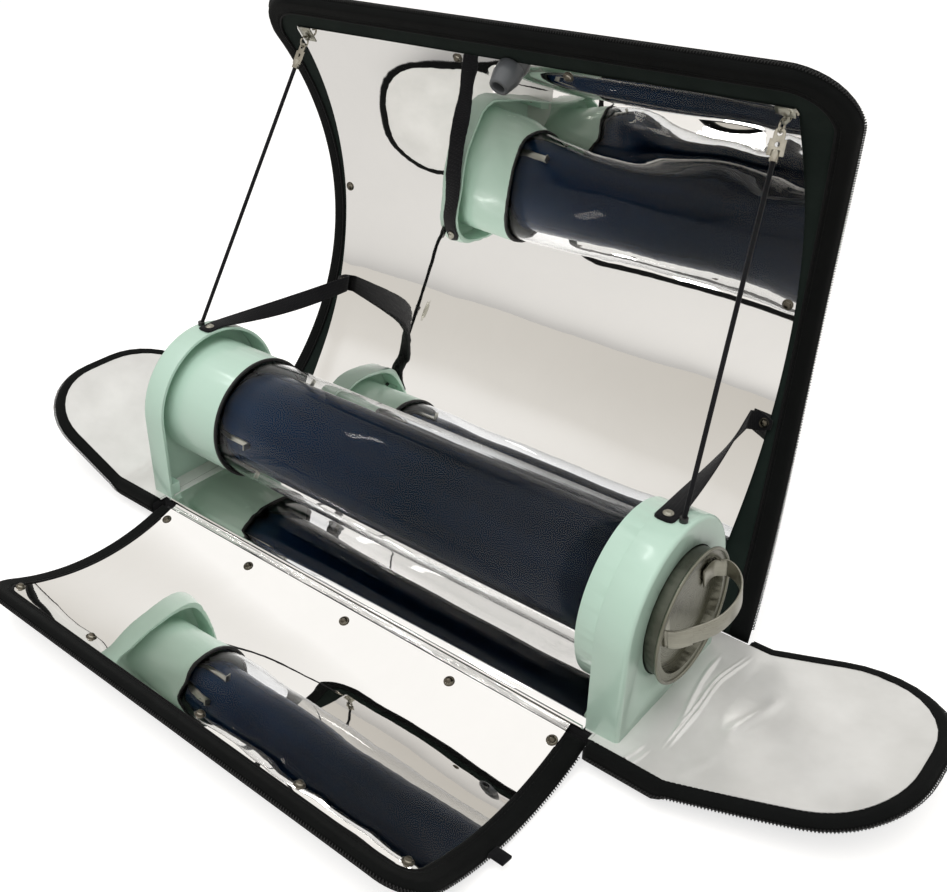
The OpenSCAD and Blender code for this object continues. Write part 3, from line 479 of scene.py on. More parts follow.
# dark blue coating seen through glass, with long faint darker bands; its shift from bluer and brighter at the closed
# end to browner at the open one is painted sheen and light
def paintedSheenCoatingMaterial(name):
    m, nt, bsdf = startMaterial(name)
    streak = noiseNode(nt, coordinates(nt, "Object", (0.25, 3, 3)), 14, 5, 0.6)
    sep = nt.nodes.new("ShaderNodeSeparateXYZ")
    link(nt, coordinates(nt), sep.inputs["Vector"])
    along = mathNode(nt, "MULTIPLY_ADD", sep.outputs["X"], 1.9, 0.5)
    # painted sheen and light: bluer and brighter at the closed end, darkest mid-way, browner at the open end
    tint = rampNode(nt, along, [(0.0, (0.012, 0.042, 0.105)), (0.3, (0.003, 0.015, 0.042)), (0.6, (0.002, 0.009, 0.022)),
                                (1.0, (0.014, 0.020, 0.036))])
    mix = nt.nodes.new("ShaderNodeMix")
    mix.data_type = "RGBA"
    mix.blend_type = "MULTIPLY"
    mix.inputs["Factor"].default_value = 1.0
    link(nt, tint, mix.inputs["A"])
    link(nt, rampNode(nt, streak, [(0.3, (0.5, 0.5, 0.5)), (0.75, (1.0, 1.0, 1.0))]), mix.inputs["B"])
    link(nt, mix.outputs["Result"], bsdf.inputs["Base Color"])
    bsdf.inputs["Specular IOR Level"].default_value = 0.08
    link(nt, mathNode(nt, "MULTIPLY_ADD", streak, 0.12, 0.10), bsdf.inputs["Roughness"])
    return m


finish = {
    "mint": plasticMaterial("mintPlastic", (0.52, 0.70, 0.59), (0.495, 0.68, 0.565), 0.26, 0.3),
    "black cloth": clothMaterial("blackCloth", (0.0045, 0.0045, 0.005), (0.014, 0.014, 0.0145), sheen=0.08),
    "margin cloth": clothMaterial("marginCloth", (0.007, 0.012, 0.010), (0.018, 0.026, 0.022), sheen=0.03),
    "band": clothMaterial("bindingTape", (0.0015, 0.0018, 0.0018), (0.005, 0.0056, 0.0054), 0.0006, 0.8, "UV", 0.02),
    "piping": clothMaterial("piping", (0.003, 0.003, 0.003), (0.009, 0.009, 0.009), 0.0007, 0.7, "Object", 0.04),
    "lining": liningMaterial("silverLining"),
    "webbing": clothMaterial("webbing", (0.003, 0.003, 0.004), (0.011, 0.011, 0.012), 0.0014, 0.75, "UV", 0.1, 0.6, 0.785),
    "cord": clothMaterial("braid", (0.004, 0.004, 0.005), (0.016, 0.016, 0.018), 0.0011, 0.7, "UV", 0.1, 0.6, 0.785),
    "board": plasticMaterial("board", (0.10, 0.10, 0.10), (0.08, 0.08, 0.08), 0.6),
    "film": filmMaterial("mirrorFilm", (0.895, 0.885, 0.87), 0.012, 0.0012, 0.00002),
    "grey plastic": plasticMaterial("greyPlastic", (0.105, 0.11, 0.115), (0.08, 0.085, 0.09), 0.4),
    "black plastic": plasticMaterial("blackPlastic", (0.012, 0.012, 0.012), (0.008, 0.008, 0.008), 0.4),
    "rubber": rubberMaterial("sealRubber", (0.008, 0.008, 0.008)),
    "foot": rubberMaterial("footRubber", (0.02, 0.02, 0.02)),
    "coil": plasticMaterial("coilNylon", (0.005, 0.005, 0.0055), (0.003, 0.003, 0.003), 0.55, 0.0),
    "glass": glassMaterial("clearGlass"),
    "coating": paintedSheenCoatingMaterial("darkCoatingPaintedSheen"),
    "steel": metalMaterial("brushedSteel", (0.46, 0.45, 0.385), (0.30, 0.29, 0.245), 0.3, (0.2, 1, 8)),
    "turned": metalMaterial("turnedSteel", (0.25, 0.247, 0.20), (0.145, 0.143, 0.114), 0.28, turned=True),
    # dark greenish steel: its colour is painted shade and painted reflection of the mint bracket round the lid
    "skirt": metalMaterial("spunSkirtPaintedShade", (0.115, 0.122, 0.098), (0.07, 0.075, 0.06), 0.36),
    # the stud ring's dark colour is painted shadow round the stud's dome
    "stud ring painted shadow": metalMaterial("studRingPaintedShadow", (0.16, 0.14, 0.11), (0.05, 0.045, 0.035), 0.3),
    "stud": metalMaterial("studMetal", (0.52, 0.49, 0.41), (0.27, 0.25, 0.21), 0.22),
}
cadFinish = {
    "base_board": "board", "bracket_screws": "steel", "dome_pad": "rubber", "mouth_seal": "rubber",
    "back_board": "board", "front_board": "board", "sight_pin": "steel", "tray_rivets": "steel",
}
for nodeName, kind in cadFinish.items():
    nodes[nodeName].data.materials.clear()
    nodes[nodeName].data.materials.append(finish[kind])
print("stage: materials made")

# ---- cords, from the sleeves in the brackets up to the rings at the back panel's corners
cordRoute = {"foot": (0.2845, 0.003, 0.187), "crimp": (0.25585, 0.14130, 0.44136), "diameter": 0.004, "steps": 26}
for side, name in ((-1, "left"), (1, "right")):
    a, b = (Vector((side * p[0], p[1], p[2])) for p in (cordRoute["foot"], cordRoute["crimp"]))
    route = [a.lerp(b, k / cordRoute["steps"]) for k in range(cordRoute["steps"] + 1)]
    bm = bmesh.new()
    sweptTube(bm, route, cordRoute["diameter"] / 2, 12)
    cord = newPiece(name + "StayCord", bm, None, "cord", [name + "_cord"])
    tuple(a)
    tuple(b)
    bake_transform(cord)
    tuple(a)
    [tuple(p) for p in route]
print("stage: cords made")

# ---- back panel
backShape = {"half": 0.3085, "corner": 0.055, "waist": 0.2855, "bow": 1.0, "waistZ": 0.250, "thick": 0.012,
             "band": 0.016, "proud": 0.0014, "quilt": 0.0006}


def backHalf(s):
    z = min(backPoint(0, s, -0.007).z, 0.4633)
    return backShape["waist"] + backShape["bow"] - math.sqrt(backShape["bow"] ** 2 - (z - backShape["waistZ"]) ** 2)


def backWarp(x, s):
    return x * backHalf(min(max(s, 0), backCurve["length"])) / backShape["half"], s


# soft unevenness of a padded sheet
def puff(x, y, size, amount, seed=0.0):
    return amount * noise.noise(Vector((x / size + seed, y / size, seed)))


def roundEdge(d, half, r):
    return half * math.sqrt(max(0.02, 1 - (1 - min(max(d, 0), r) / r) ** 2))


def bandHeight(d, half, proud, width):
    fall = smoothStep(width + 0.0004, width - 0.0016, d)
    lip = math.sqrt(max(0.0, 1 - (1 - min(max(d + proud, 0), 0.005) / 0.005) ** 2))
    return (half - 0.0006) * lip * (1 if d < width - 0.002 else 1) + (proud + 0.0006) * fall * lip


def panelCorners(half, length, grow, corner, start=0.0, low=0.004):
    return [(-half - grow, start - grow, low), (half + grow, start - grow, low),
            (half + grow, length + grow, corner + grow), (-half - grow, length + grow, corner + grow)]


coverSteps = [0, 0.0006, 0.002, 0.004, 0.0075, 0.018, 0.034]
flapSteps = [-0.0014, -0.0009, 0.0002, 0.002, 0.0045, 0.007, 0.0085, 0.0095, 0.0102, 0.0106]
bandSteps = [-0.0014, -0.0009, 0.0002, 0.002, 0.005, 0.009, 0.0125, 0.0145, 0.0158, 0.0163]


# a panel's face sinks towards its hinge, so that it folds clear of the base
def pinch(s):
    return 0.42 + 0.58 * smoothStep(0.0, 0.014, s)


def makePanel(name, body, point, half, length, corner, thick, mid, warp, seed, coverNodes, bandNodes, margin):
    cutsS = [0.008 * k for k in range(1, int(length / 0.008) + 1)]
    cutsX = [0.02 * k for k in range(-int(half / 0.02), int(half / 0.02) + 1)]
    # cover
    bm, edge, paths = ringed(panelCorners(half, length, 0, corner), coverSteps, [(1, cutsS), (0, cutsX)])

    def coverShell(x, y, d):
        t = roundEdge(d, thick / 2, thick / 2)
        soft = smoothStep(0.003, 0.02, d)
        return mid - t - soft * abs(puff(x, y, 0.07, 0.0012, seed)), mid + t * pinch(y) + soft * puff(x, y, 0.05, 0.0003, seed)
    thickened(bm, edge, coverShell, point, warp)
    cover = newPiece(name + "Cover", bm, body, ["margin cloth" if margin else "black cloth", "black cloth"], coverNodes)
    # binding that wraps the edge
    proud = 0.0014
    bm, edge, bands = ringed(panelCorners(half, length, 0, corner, -0.04), bandSteps, [(1, cutsS), (0, cutsX)])
    bmesh.ops.bisect_plane(bm, geom=bm.verts[:] + bm.edges[:] + bm.faces[:], dist=0.00001, plane_co=(0, 0.0005, 0),
                           plane_no=(0, 1, 0), clear_inner=True)
    inside = [f for f in bm.faces if all(v[edge] > bandSteps[-1] - 0.00005 for v in f.verts)]
    bmesh.ops.delete(bm, geom=inside, context="FACES")

    def bandShell(x, y, d):
        t = bandHeight(d, thick / 2, proud, 0.016) + smoothStep(0, 0.004, d) * puff(x, y, 0.03, 0.0003, seed)
        return mid - t, mid + t * pinch(y)
    thickened(bm, edge, bandShell, point, warp, 0, 0)
    newPiece(name + "Binding", bm, body, "band", bandNodes)

    def spot(x, y, out):
        x, y = warp(x, y) if warp else (x, y)
        return point(x, y, out)
    # piping inside the binding, two rows of stitches and the coil of the zip
    bm = bmesh.new()
    pipe = [spot(p.x, p.y, mid + thick / 2 + 0.0010) for p, t in evenly(bands[0.0163], 0.004) if p.y > 0.015]
    sweptTube(bm, pipe, 0.0013, 8)
    newPiece(name + "Piping", bm, body, "piping")
    bm = bmesh.new()
    for d in (0.0145, 0.0125):
        stitchRow(bm, bands[d], spot, lambda p, d=d: mid + bandHeight(d, thick / 2, proud, 0.016) + 0.0001,
                  keep=lambda p: p.y > 0.016)
    newPiece(name + "Stitches", bm, body, "piping", smooth=False)
    bm = bmesh.new()
    zipCoil(bm, bands[-0.0014], spot, lambda p: mid - thick * 0.10, keep=lambda p: p.y > 0.012)
    newPiece(name + "ZipCoil", bm, body, "coil")
    return bands


backBands = makePanel("back", "back_panel", backPoint, backShape["half"], backCurve["length"], backShape["corner"],
                      backShape["thick"], -0.001 - backShape["thick"] / 2, backWarp, 3.1, ["back_cover"],
                      ["back_binding"], True)
frontBands = makePanel("front", "front_panel", frontPoint, 0.2675, frontCurve["length"], 0.034, 0.008, -0.005, None, 7.7,
                       ["front_cover"], ["front_binding"], False)
print("stage: panels made")


# ---- mirror films, a little wavy where the studs pull them
def makeFilm(name, body, point, half, start, end, lift, wave, nodesOut, thickness=0.0006, corner=0.002, rows=0.0045):
    bm = bmesh.new()
    bmesh.ops.create_grid(bm, x_segments=int(2 * half / 0.0045), y_segments=int((end - start) / rows), size=1)
    for v in bm.verts:
        s = start + (end - start) * (v.co.y + 1) / 2
        if s > end - corner:
            t = (s - end + corner) / corner
            s = end - corner + corner * math.sin(t * math.pi / 2)
        cut = corner - math.sqrt(max(0, corner ** 2 - max(0, s - end + corner) ** 2))
        v.co = (v.co.x * (half - cut), s, 0)
    thickened(bm, None, lambda x, y, d: (lift + wave(x, y) - thickness, lift + wave(x, y)), point, None, 0, 0)
    return newPiece(name, bm, body, "film", nodesOut, sharp=40)


backBulge = [(0.0118, 0.0002), (0.05, 0.0028), (0.09, 0.0050), (0.13, 0.0040), (0.17, 0.0029), (0.21, 0.0022),
             (0.25, 0.0014), (0.29, 0.0003), (0.32, 0.0), (0.36, 0.0), (0.5029, 0.0002)]


# smooth curve through points (t, value)
def through(points, t):
    k = 0
    while k < len(points) - 2 and points[k + 1][0] < t:
        k += 1
    (t0, v0), (t1, v1) = points[k], points[k + 1]

    def slope(i):
        (a, u), (b, w) = points[max(0, i - 1)], points[min(len(points) - 1, i + 1)]
        return (w - u) / (b - a)
    h = t1 - t0
    q = min(1, max(0, (t - t0) / h))
    return (v0 * (1 + 2 * q) * (1 - q) ** 2 + v1 * q * q * (3 - 2 * q)
            + h * (slope(k) * q * (1 - q) ** 2 - slope(k + 1) * q * q * (1 - q)))


def backWave(x, s):
    near = 0.8 + 0.2 * smoothStep(0.265, 0.235, abs(x))
    high = smoothStep(0.37, 0.47, s) * smoothStep(0.5029, 0.480, s)
    right = smoothStep(-0.06, 0.12, x)
    v = through(backBulge, s) + 0.0030 * high * right
    v += 0.0003 * noise.noise(Vector((x * 6, s * 6, 1.3)))
    v += 0.0007 * smoothStep(0.38, 0.44, s) * right * noise.noise(Vector((x * 16 - s * 8, s * 24, 8.2)))
    return v * near + 0.0004


def frontWave(x, s):
    far = smoothStep(0.12, 0.19, s)
    v = 0.0002 * noise.noise(Vector((x * 8, s * 8, 2.3)))
    return v + 0.0007 * far * noise.noise(Vector((x * 20 + 3, s * 18, 6.2))) + 0.0003


# the base's film is loose: it rises a little towards the front and more so at the open end
def baseWave(x, y):
    rise = 0.0012 + 0.0026 * smoothStep(-0.2, 0.24, x)
    fold = smoothStep(-0.005, -0.070, y) * smoothStep(-0.0845, -0.074, y)
    return rise * fold + 0.00014 * noise.noise(Vector((x * 0.5, y * 95, 0.3))) * smoothStep(-0.0845, -0.076, y)


makeFilm("backFilm", "back_panel", backPoint, 0.265, 0.0118, 0.5029, 0.0, backWave, ["back_mirror"])
makeFilm("frontFilm", "front_panel", frontPoint, 0.2505, 0.0012, 0.2065, 0.0, frontWave, ["front_mirror"], corner=0.0175)
makeFilm("baseFilm", "case", basePoint, 0.2618, -0.0845, 0.0960, 0.017,
         baseWave, ["base_mirror"], 0.0014, rows=0.0015)
gutter = {"half": 0.2500, "from": (-0.0852, 0.0163), "to": (-0.0916, 0.0141), "dip": 0.0008}
bm = bmesh.new()
bmesh.ops.create_grid(bm, x_segments=60, y_segments=6, size=1)
for v in bm.verts:
    v.co = (v.co.x * gutter["half"], (v.co.y + 1) / 2, 0)


def gutterPlace(x, t, out):
    (y0, z0), (y1, z1) = gutter["from"], gutter["to"]
    return Vector((x, y0 + (y1 - y0) * t, z0 + (z1 - z0) * t - gutter["dip"] * math.sin(t * math.pi) + out))


thickened(bm, None, lambda x, y, d: (-0.0005, 0.0), gutterPlace, None, 0, 0)
gutterFilm = newPiece("gutterFilm", bm, None, "film", sharp=40)
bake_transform(gutterFilm)
print("stage: films made")

# ---- base
baseShape = {"half": 0.3344, "front": -0.0995, "rear": 0.1055, "frontNotch": 0.2713, "notchY": -0.0849,
             "rearNotch": 0.3180, "rearY": 0.0964, "thick": 0.015}
b = baseShape
ears = [
    (-b["half"], b["front"], 0.003), (-b["frontNotch"], b["front"], 0), (-b["frontNotch"], b["notchY"], 0),
    (b["frontNotch"], b["notchY"], 0), (b["frontNotch"], b["front"], 0), (b["half"], b["front"], 0.003),
    (b["half"], b["rear"], 0.003), (b["rearNotch"], b["rear"], 0), (b["rearNotch"], b["rearY"], 0),
    (-b["rearNotch"], b["rearY"], 0), (-b["rearNotch"], b["rear"], 0), (-b["half"], b["rear"], 0.003)]
bm, edge, paths = ringed(ears, [0, 0.0004, 0.0015, 0.003, 0.006],
                         [(0, [0.03 * k for k in range(-11, 12)]), (1, [0.02 * k for k in range(-4, 5)])], 4)


def baseShell(x, y, d):
    t = 0.003 - roundEdge(d, 0.003, 0.003)
    return t + smoothStep(0.004, 0.02, d) * abs(puff(x, y, 0.06, 0.0008, 5.5)), b["thick"] - t


thickened(bm, edge, baseShell, basePoint)
baseCover = newPiece("baseCover", bm, "case", "black cloth", ["base_cover"])
baseCover.data.materials.append(finish["black cloth"])
print("stage: base made")


# ---- flaps: cover, silver lining that runs on over the base's ear, and the binding round both
flapShape = {"length": 0.165, "half": 0.1025, "midY": 0.003, "corner": 0.086, "proud": 0.0014, "thick": 0.0075}
# folds pressed into the linings: (y, w) points, height and width in metres
folds = {
    "left": [([(-0.080, -0.030), (0.0, 0.012), (0.085, 0.045)], 0.0010, 0.0045),
             ([(-0.084, -0.012), (0.030, 0.022)], 0.0008, 0.0040), ([(-0.060, -0.050), (0.075, -0.012)], 0.0008, 0.0040)],
    "right": [([(-0.066, -0.0186), (-0.007, -0.0194), (0.038, -0.0213), (0.085, -0.0130)], 0.0017, 0.0011),
              ([(-0.066, -0.0148), (-0.007, -0.0156), (0.038, -0.0175), (0.085, -0.0092)], 0.0016, 0.0011),
              ([(-0.052, -0.0170), (-0.040, -0.0181), (0.025, -0.0299), (0.074, -0.0335)], 0.0020, 0.0018),
              ([(-0.095, -0.0365), (-0.066, -0.0300)], 0.0012, 0.0014), ([(-0.092, -0.0290), (-0.070, -0.0245)], 0.0010, 0.0013),
              ([(-0.030, 0.0160), (0.000, 0.0192), (0.026, 0.0280), (0.050, 0.0330)], 0.0012, 0.0055),
              ([(-0.084, 0.0040), (-0.045, 0.0200)], 0.0008, 0.0040)],
}


def foldHeight(side, w, y):
    h = 0.0
    for path, height, width in folds[side]:
        t = (y - path[0][0]) / (path[-1][0] - path[0][0])
        if 0 < t < 1:
            line = through(path, y)
            h += height * smoothStep(0, 0.25, t) * smoothStep(1, 0.75, t) * math.exp(-((w - line) / width) ** 2)
    return h


def makeFlap(name, side, tilt, curl, drift, seed, hideNodes):
    body = name + "_flap"
    point = flapPoint(side, tilt, curl)
    f = flapShape
    L, mid = f["length"], f["midY"]

    def corners(grow, inner, frontEar, rearEar):
        front, rear = mid - f["half"] - grow, mid + f["half"] + grow
        return [(inner, frontEar, 0), (0.0, front, 0.0), (L + grow, front + drift, f["corner"] + grow),
                (L + grow, rear + drift, f["corner"] + grow), (0.0, rear, 0.0), (inner, rearEar, 0)]
    cuts = [(0, [0.006 * k for k in range(-12, 30)]), (1, [0.009 * k for k in range(-12, 17)])]
    # cover, from just outside the crease
    bm, edge, paths = ringed([(0.002, mid - f["half"], 0.003), (L, mid - f["half"] + drift, f["corner"]),
                              (L, mid + f["half"] + drift, f["corner"]), (0.002, mid + f["half"], 0.003)], coverSteps, cuts)

    def coverShell(w, y, d):
        t = roundEdge(d, 0.0037, 0.0037)
        return (-0.0041 - t - smoothStep(0.003, 0.02, d) * abs(puff(w, y, 0.05, 0.0008, seed)), -0.0041 + t)
    thickened(bm, edge, coverShell, point)
    cover = newPiece(name + "FlapCover", bm, None, ["black cloth", "black cloth"], [body + "_cover"])
    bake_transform(cover)
    # lining
    inset = 0.0096
    sheet = corners(-inset, -0.0765, -0.0995 + inset, 0.1055 - inset)
    sheet = [(-0.0690, sheet[0][1], 0)] + sheet[1:] + [(-0.0765, -0.0825, 0), (-0.0690, -0.0825, 0)]
    bm, edge, paths = ringed(sheet, [0, 0.001],
                             [(0, [0.0011 * k for k in range(-40, -5)] + [0.003 * k for k in range(-24, 52)]),
                              (1, [0.0045 * k for k in range(-20, 34)])])

    def liningShell(w, y, d):
        calm = smoothStep(0, 0.004, min(abs(w - L + inset), abs(y + 0.083), abs(y - 0.09)))
        h = 0.0006 + foldHeight(name, w, y) * calm + smoothStep(0.0, 0.02, w + 0.07) * abs(puff(w, y, 0.045, 0.0009, seed))
        if w < -0.0715:
            h = 0.0004
        return h - 0.0008, h
    thickened(bm, edge, liningShell, point, None, 0, 0)
    lining = newPiece(name + "Lining", bm, None, "lining", [body + "_lining"], sharp=60)
    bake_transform(lining)
    # binding: round the flap and on along the ears of the base
    bm, edge, bands = ringed(corners(0, -0.0765, -0.0995, 0.1055), flapSteps, cuts)
    inside = [g for g in bm.faces if all(v[edge] > flapSteps[-1] - 0.00005 for v in g.verts)]
    bmesh.ops.delete(bm, geom=inside, context="FACES")
    gone = [g for g in bm.faces if g.calc_center_median().x < (-0.0672 if g.calc_center_median().y < 0 else -0.0205)]
    bmesh.ops.delete(bm, geom=gone, context="FACES")

    def bandShell(w, y, d):
        flap = smoothStep(-0.006, 0.006, w)
        half = 0.0078 * (1 - flap) + 0.0040 * flap
        t = bandHeight(d, half, f["proud"], 0.0103) + smoothStep(0, 0.004, d) * puff(w, y, 0.03, 0.0003, seed)
        return -half - t + 0.0002, -half + t + 0.0002
    thickened(bm, edge, bandShell, point, None, 0, 0)
    binding = newPiece(name + "Binding", bm, None, "band", hideNodes)
    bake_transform(binding)

    def onBand(p):
        return p.x > (-0.064 if p.y < 0 else -0.018)

    def mids(p):
        flap = smoothStep(-0.006, 0.006, p.x)
        return -0.0078 * (1 - flap) - 0.0040 * flap

    def tops(p, d):
        flap = smoothStep(-0.006, 0.006, p.x)
        half = 0.0078 * (1 - flap) + 0.0040 * flap
        return -half + bandHeight(d, half, f["proud"], 0.0103) + 0.0003
    bm = bmesh.new()
    for d in (0.0085,):
        stitchRow(bm, bands[d], point, lambda p, d=d: tops(p, d), keep=onBand)
    stitches = newPiece(name + "Stitches", bm, None, "piping", smooth=False)
    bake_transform(stitches)
    bm = bmesh.new()
    zipCoil(bm, bands[-0.0014], point, lambda p: mids(p) - 0.0012, keep=onBand)
    coil = newPiece(name + "ZipCoil", bm, None, "coil")
    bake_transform(coil)


makeFlap("left", -1, 22, 0, 0, 1.7, ["left_flap_binding", "left_hinge_tape", "base_lining"])
makeFlap("right", 1, 8, 18, 0.044, 9.4, ["right_flap_binding", "right_hinge_tape", "base_binding"])
print("stage: flaps made")

# ---- hinge strips of cloth along the long edges
hingeCloth = {"pitch": 0.02, "turns": 10}


def hingeStrip(name, centre, radius, a0, a1, half, ends, node):
    bm = bmesh.new()
    uv = bm.loops.layers.uv.new("cloth")
    n = int(2 * half / hingeCloth["pitch"])
    rows = []
    for r in (radius, radius + 0.0009):
        start = [bm.verts.new((-half + 2 * half * k / n, centre[0] + r * math.cos(a0), centre[1] + r * math.sin(a0)))
                 for k in range(n + 1)]
        rows.append([bm.edges.new(p) for p in zip(start, start[1:])])
    for row in rows:
        bmesh.ops.spin(bm, geom=row + list({v for e in row for v in e.verts}), cent=(0, *centre), axis=(1, 0, 0), angle=a1 - a0,
                       steps=hingeCloth["turns"], dvec=(0, 0, 0), use_merge=False, use_duplicate=False)
    bmesh.ops.remove_doubles(bm, verts=bm.verts, dist=0.00001)
    open_ = [e for e in bm.edges if e.is_boundary]
    bmesh.ops.bridge_loops(bm, edges=open_)
    for f in bm.faces:
        for l in f.loops:
            l[uv].uv = (l.vert.co.x, math.atan2(l.vert.co.z - centre[1], l.vert.co.y - centre[0]) * radius)
    bmesh.ops.recalc_face_normals(bm, faces=bm.faces)
    strip = newPiece(name, bm, None, "black cloth", [node])
    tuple(ends[0])
    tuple(ends[1])
    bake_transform(strip)


hingeStrip("rearHingeStrip", (0.103, hingeZ), 0.0063, math.radians(-148), math.radians(-57), 0.285,
           ((0, 0.099, 0.006), (0, 0.108, 0.006)), "rear_hinge_tape")
hingeStrip("frontHingeStrip", (-0.0895, 0.0093), 0.0046, math.radians(-160), math.radians(-26), 0.266,
           ((0, -0.0865, 0.005), (0, -0.0925, 0.005)), "front_hinge_tape")

# ---- rigid pieces from the frame, with their edges rounded
softParts = {
    "left_bracket": ("case", "mint", 0.0008), "right_bracket": ("case", "mint", 0.0008), "cup_seal": ("case", "rubber", 0.0005),
    "front_lip": ("case", "film", 0.0003), "feet": ("case", "foot", 0.0010), "dome_spring": ("case", "steel", 0.0002),
    "strap_screws": ("case", "steel", 0.0004), "cord_anchors": ("case", "black plastic", 0.0005),
    "left_cord_tab": ("back_panel", "steel", 0.0003), "right_cord_tab": ("back_panel", "steel", 0.0003),
    "left_cord_clip": ("back_panel", "stud", 0.0003), "right_cord_clip": ("back_panel", "stud", 0.0003),
    "sight_cup": ("back_panel", "grey plastic", 0.0012), "front_pull": ("front_panel", "webbing", 0.0006),
    # the stopper's dark greenish steel is painted shade and painted reflection
    "tray": ("drawer", "steel", 0.0003), "stopper": ("drawer", "skirt", 0.0010),
    "lid": ("drawer", "turned", 0.0004),
}
for nodeName, (body, kind, width) in softParts.items():
    softEdged(nodeName, body, kind, width)
print("stage: rigid pieces made")


# ---- press studs: a ring whose dark colour is painted shadow, round a bright dome
studShape = [(0.0050, 0), (0.0050, 0.0006), (0.0046, 0.0011), (0.0040, 0.0011), (0.0036, 0.0005), (0.0034, 0.0009),
             (0.0032, 0.0020), (0.0025, 0.0031), (0.0013, 0.0037), (0, 0.0038)]


def makeStuds(name, body, point, lift, places, nodesOut):
    bm = bmesh.new()
    for x, s in places:
        p = point(x, s, lift(x, s))
        up = (point(x, s, lift(x, s) + 0.001) - p).normalized()
        side = Vector((1, 0, 0))
        turn = Matrix((side, up.cross(side), up)).transposed()
        vs = [bm.verts.new((r, 0, h)) for r, h in studShape]
        es = [bm.edges.new(q) for q in zip(vs, vs[1:])]
        old = set(bm.verts) - set(vs)
        bmesh.ops.spin(bm, geom=vs + es, cent=(0, 0, 0), axis=(0, 0, 1), angle=tau, steps=20, dvec=(0, 0, 0),
                       use_merge=True, use_duplicate=False)
        for v in set(bm.verts) - old:
            v.co = p + turn @ v.co
        for f in bm.faces:
            if all(v not in old for v in f.verts):
                c = (f.calc_center_median() - p).length
                # faces outside the dome take the dark ring finish, painted shadow round the stud
                f.material_index = 1 if c < 0.0036 else 0
    bmesh.ops.remove_doubles(bm, verts=bm.verts, dist=0.00001)
    bmesh.ops.recalc_face_normals(bm, faces=bm.faces)
    newPiece(name, bm, body, ["stud ring painted shadow", "stud"], nodesOut)


upperStuds = [(-0.2435, 0.014), (-0.11675, 0.014), (0.014, 0.014), (0.13875, 0.014), (0.2455, 0.014)]
lowerStuds = [(-0.246, 0.194), (-0.13375, 0.194), (0.015, 0.194), (0.13075, 0.194), (0.2395, 0.194)]
makeStuds("backStuds", "back_panel", backPoint, backWave,
          [(-0.060, 0.4959), (0.060, 0.4959), (-0.258, 0.305), (0.258, 0.305)], ["back_studs"])
makeStuds("strapStuds", "back_panel", backPoint, lambda x, s: 0.0024, [(-0.261, 0.192), (0.261, 0.192)], ["strap_studs"])
makeStuds("frontUpperStuds", "front_panel", frontPoint, frontWave, upperStuds, ["front_upper_studs"])
makeStuds("frontLowerStuds", "front_panel", frontPoint, frontWave, lowerStuds, ["front_lower_studs"])
print("stage: studs made")


# flat strip along sections of centre, direction of its width, and direction of its face
def stripMesh(bm, sections, width, thick, place=lambda q: q, ends=0):
    uv = bm.loops.layers.uv.verify()
    rings, run = [], 0.0
    for i, (p, w, n) in enumerate(sections):
        gap = min(i, len(sections) - 1 - i)
        scale = math.sqrt(1 - (1 - (gap + 0.35) / ends) ** 2) if gap < ends else 1
        rings.append([bm.verts.new(place(p + w * u * scale * width / 2 + n * h * thick)) for u, h in
                      ((-1, 0.2), (-0.9, 0), (0.9, 0), (1, 0.2), (1, 0.8), (0.9, 1), (-0.9, 1), (-1, 0.8))])
    for k in range(len(rings) - 1):
        step = (sections[k + 1][0] - sections[k][0]).length
        for i in range(8):
            f = bm.faces.new((rings[k][i], rings[k][(i + 1) % 8], rings[k + 1][(i + 1) % 8], rings[k + 1][i]))
            for l, (u, v) in zip(f.loops, ((run, i), (run, i + 1), (run + step, i + 1), (run + step, i))):
                l[uv].uv = (u, v / 8 * 0.040)
        run += step
    bm.faces.new(rings[0])
    bm.faces.new(list(reversed(rings[-1])))
    bmesh.ops.recalc_face_normals(bm, faces=bm.faces)


# ---- handle of the lid: a flat steel strip bowed out, with a doubled foot
handleShape = {"turn": 14, "rise": 0.012, "width": 0.020, "thick": 0.0018,
               "path": [(0.2975, -0.030), (0.2975, -0.040), (0.3000, -0.0432), (0.3045, -0.0415), (0.3110, -0.0375),
                        (0.3180, -0.0290), (0.3262, -0.0175), (0.3318, -0.0050), (0.3340, 0.0100), (0.3325, 0.0240),
                        (0.3268, 0.0365), (0.3180, 0.0448), (0.3090, 0.0475), (0.3030, 0.0445), (0.2990, 0.0415),
                        (0.2975, 0.0360), (0.2975, 0.0260)]}
h = handleShape
turn = math.radians(h["turn"])
wide = Vector((0, -math.sin(turn), math.cos(turn)))
curve = [(x, y) for x, y in h["path"]]
fine = []
for k in range(len(curve) - 1):
    for j in range(6):
        t = k + j / 6
        fine.append(Vector((through([(i, c[0]) for i, c in enumerate(curve)], t),
                            through([(i, c[1]) for i, c in enumerate(curve)], t))))
fine.append(Vector(curve[-1]))
spots = [Vector((q.x, q.y * math.cos(turn), axisZ + h["rise"] + q.y * math.sin(turn))) for q in fine]
sections = []
for k, q in enumerate(spots):
    along = (spots[min(k + 1, len(spots) - 1)] - spots[max(k - 1, 0)]).normalized()
    sections.append((q, wide, wide.cross(along).normalized()))
bm = bmesh.new()
stripMesh(bm, sections, h["width"], h["thick"], ends=0)
stripMesh(bm, [(q - n * 0.0009, w, n) for q, w, n in sections[17:31]], h["width"] * 1.03, 0.0009)
handle = newPiece("handleStrip", bm, "drawer", "steel", ["handle"])
bevel = handle.modifiers.new("edges", "BEVEL")
bevel.width, bevel.segments, bevel.limit_method, bevel.angle_limit = 0.0002, 2, "ANGLE", math.radians(40)
print("stage: handle made")

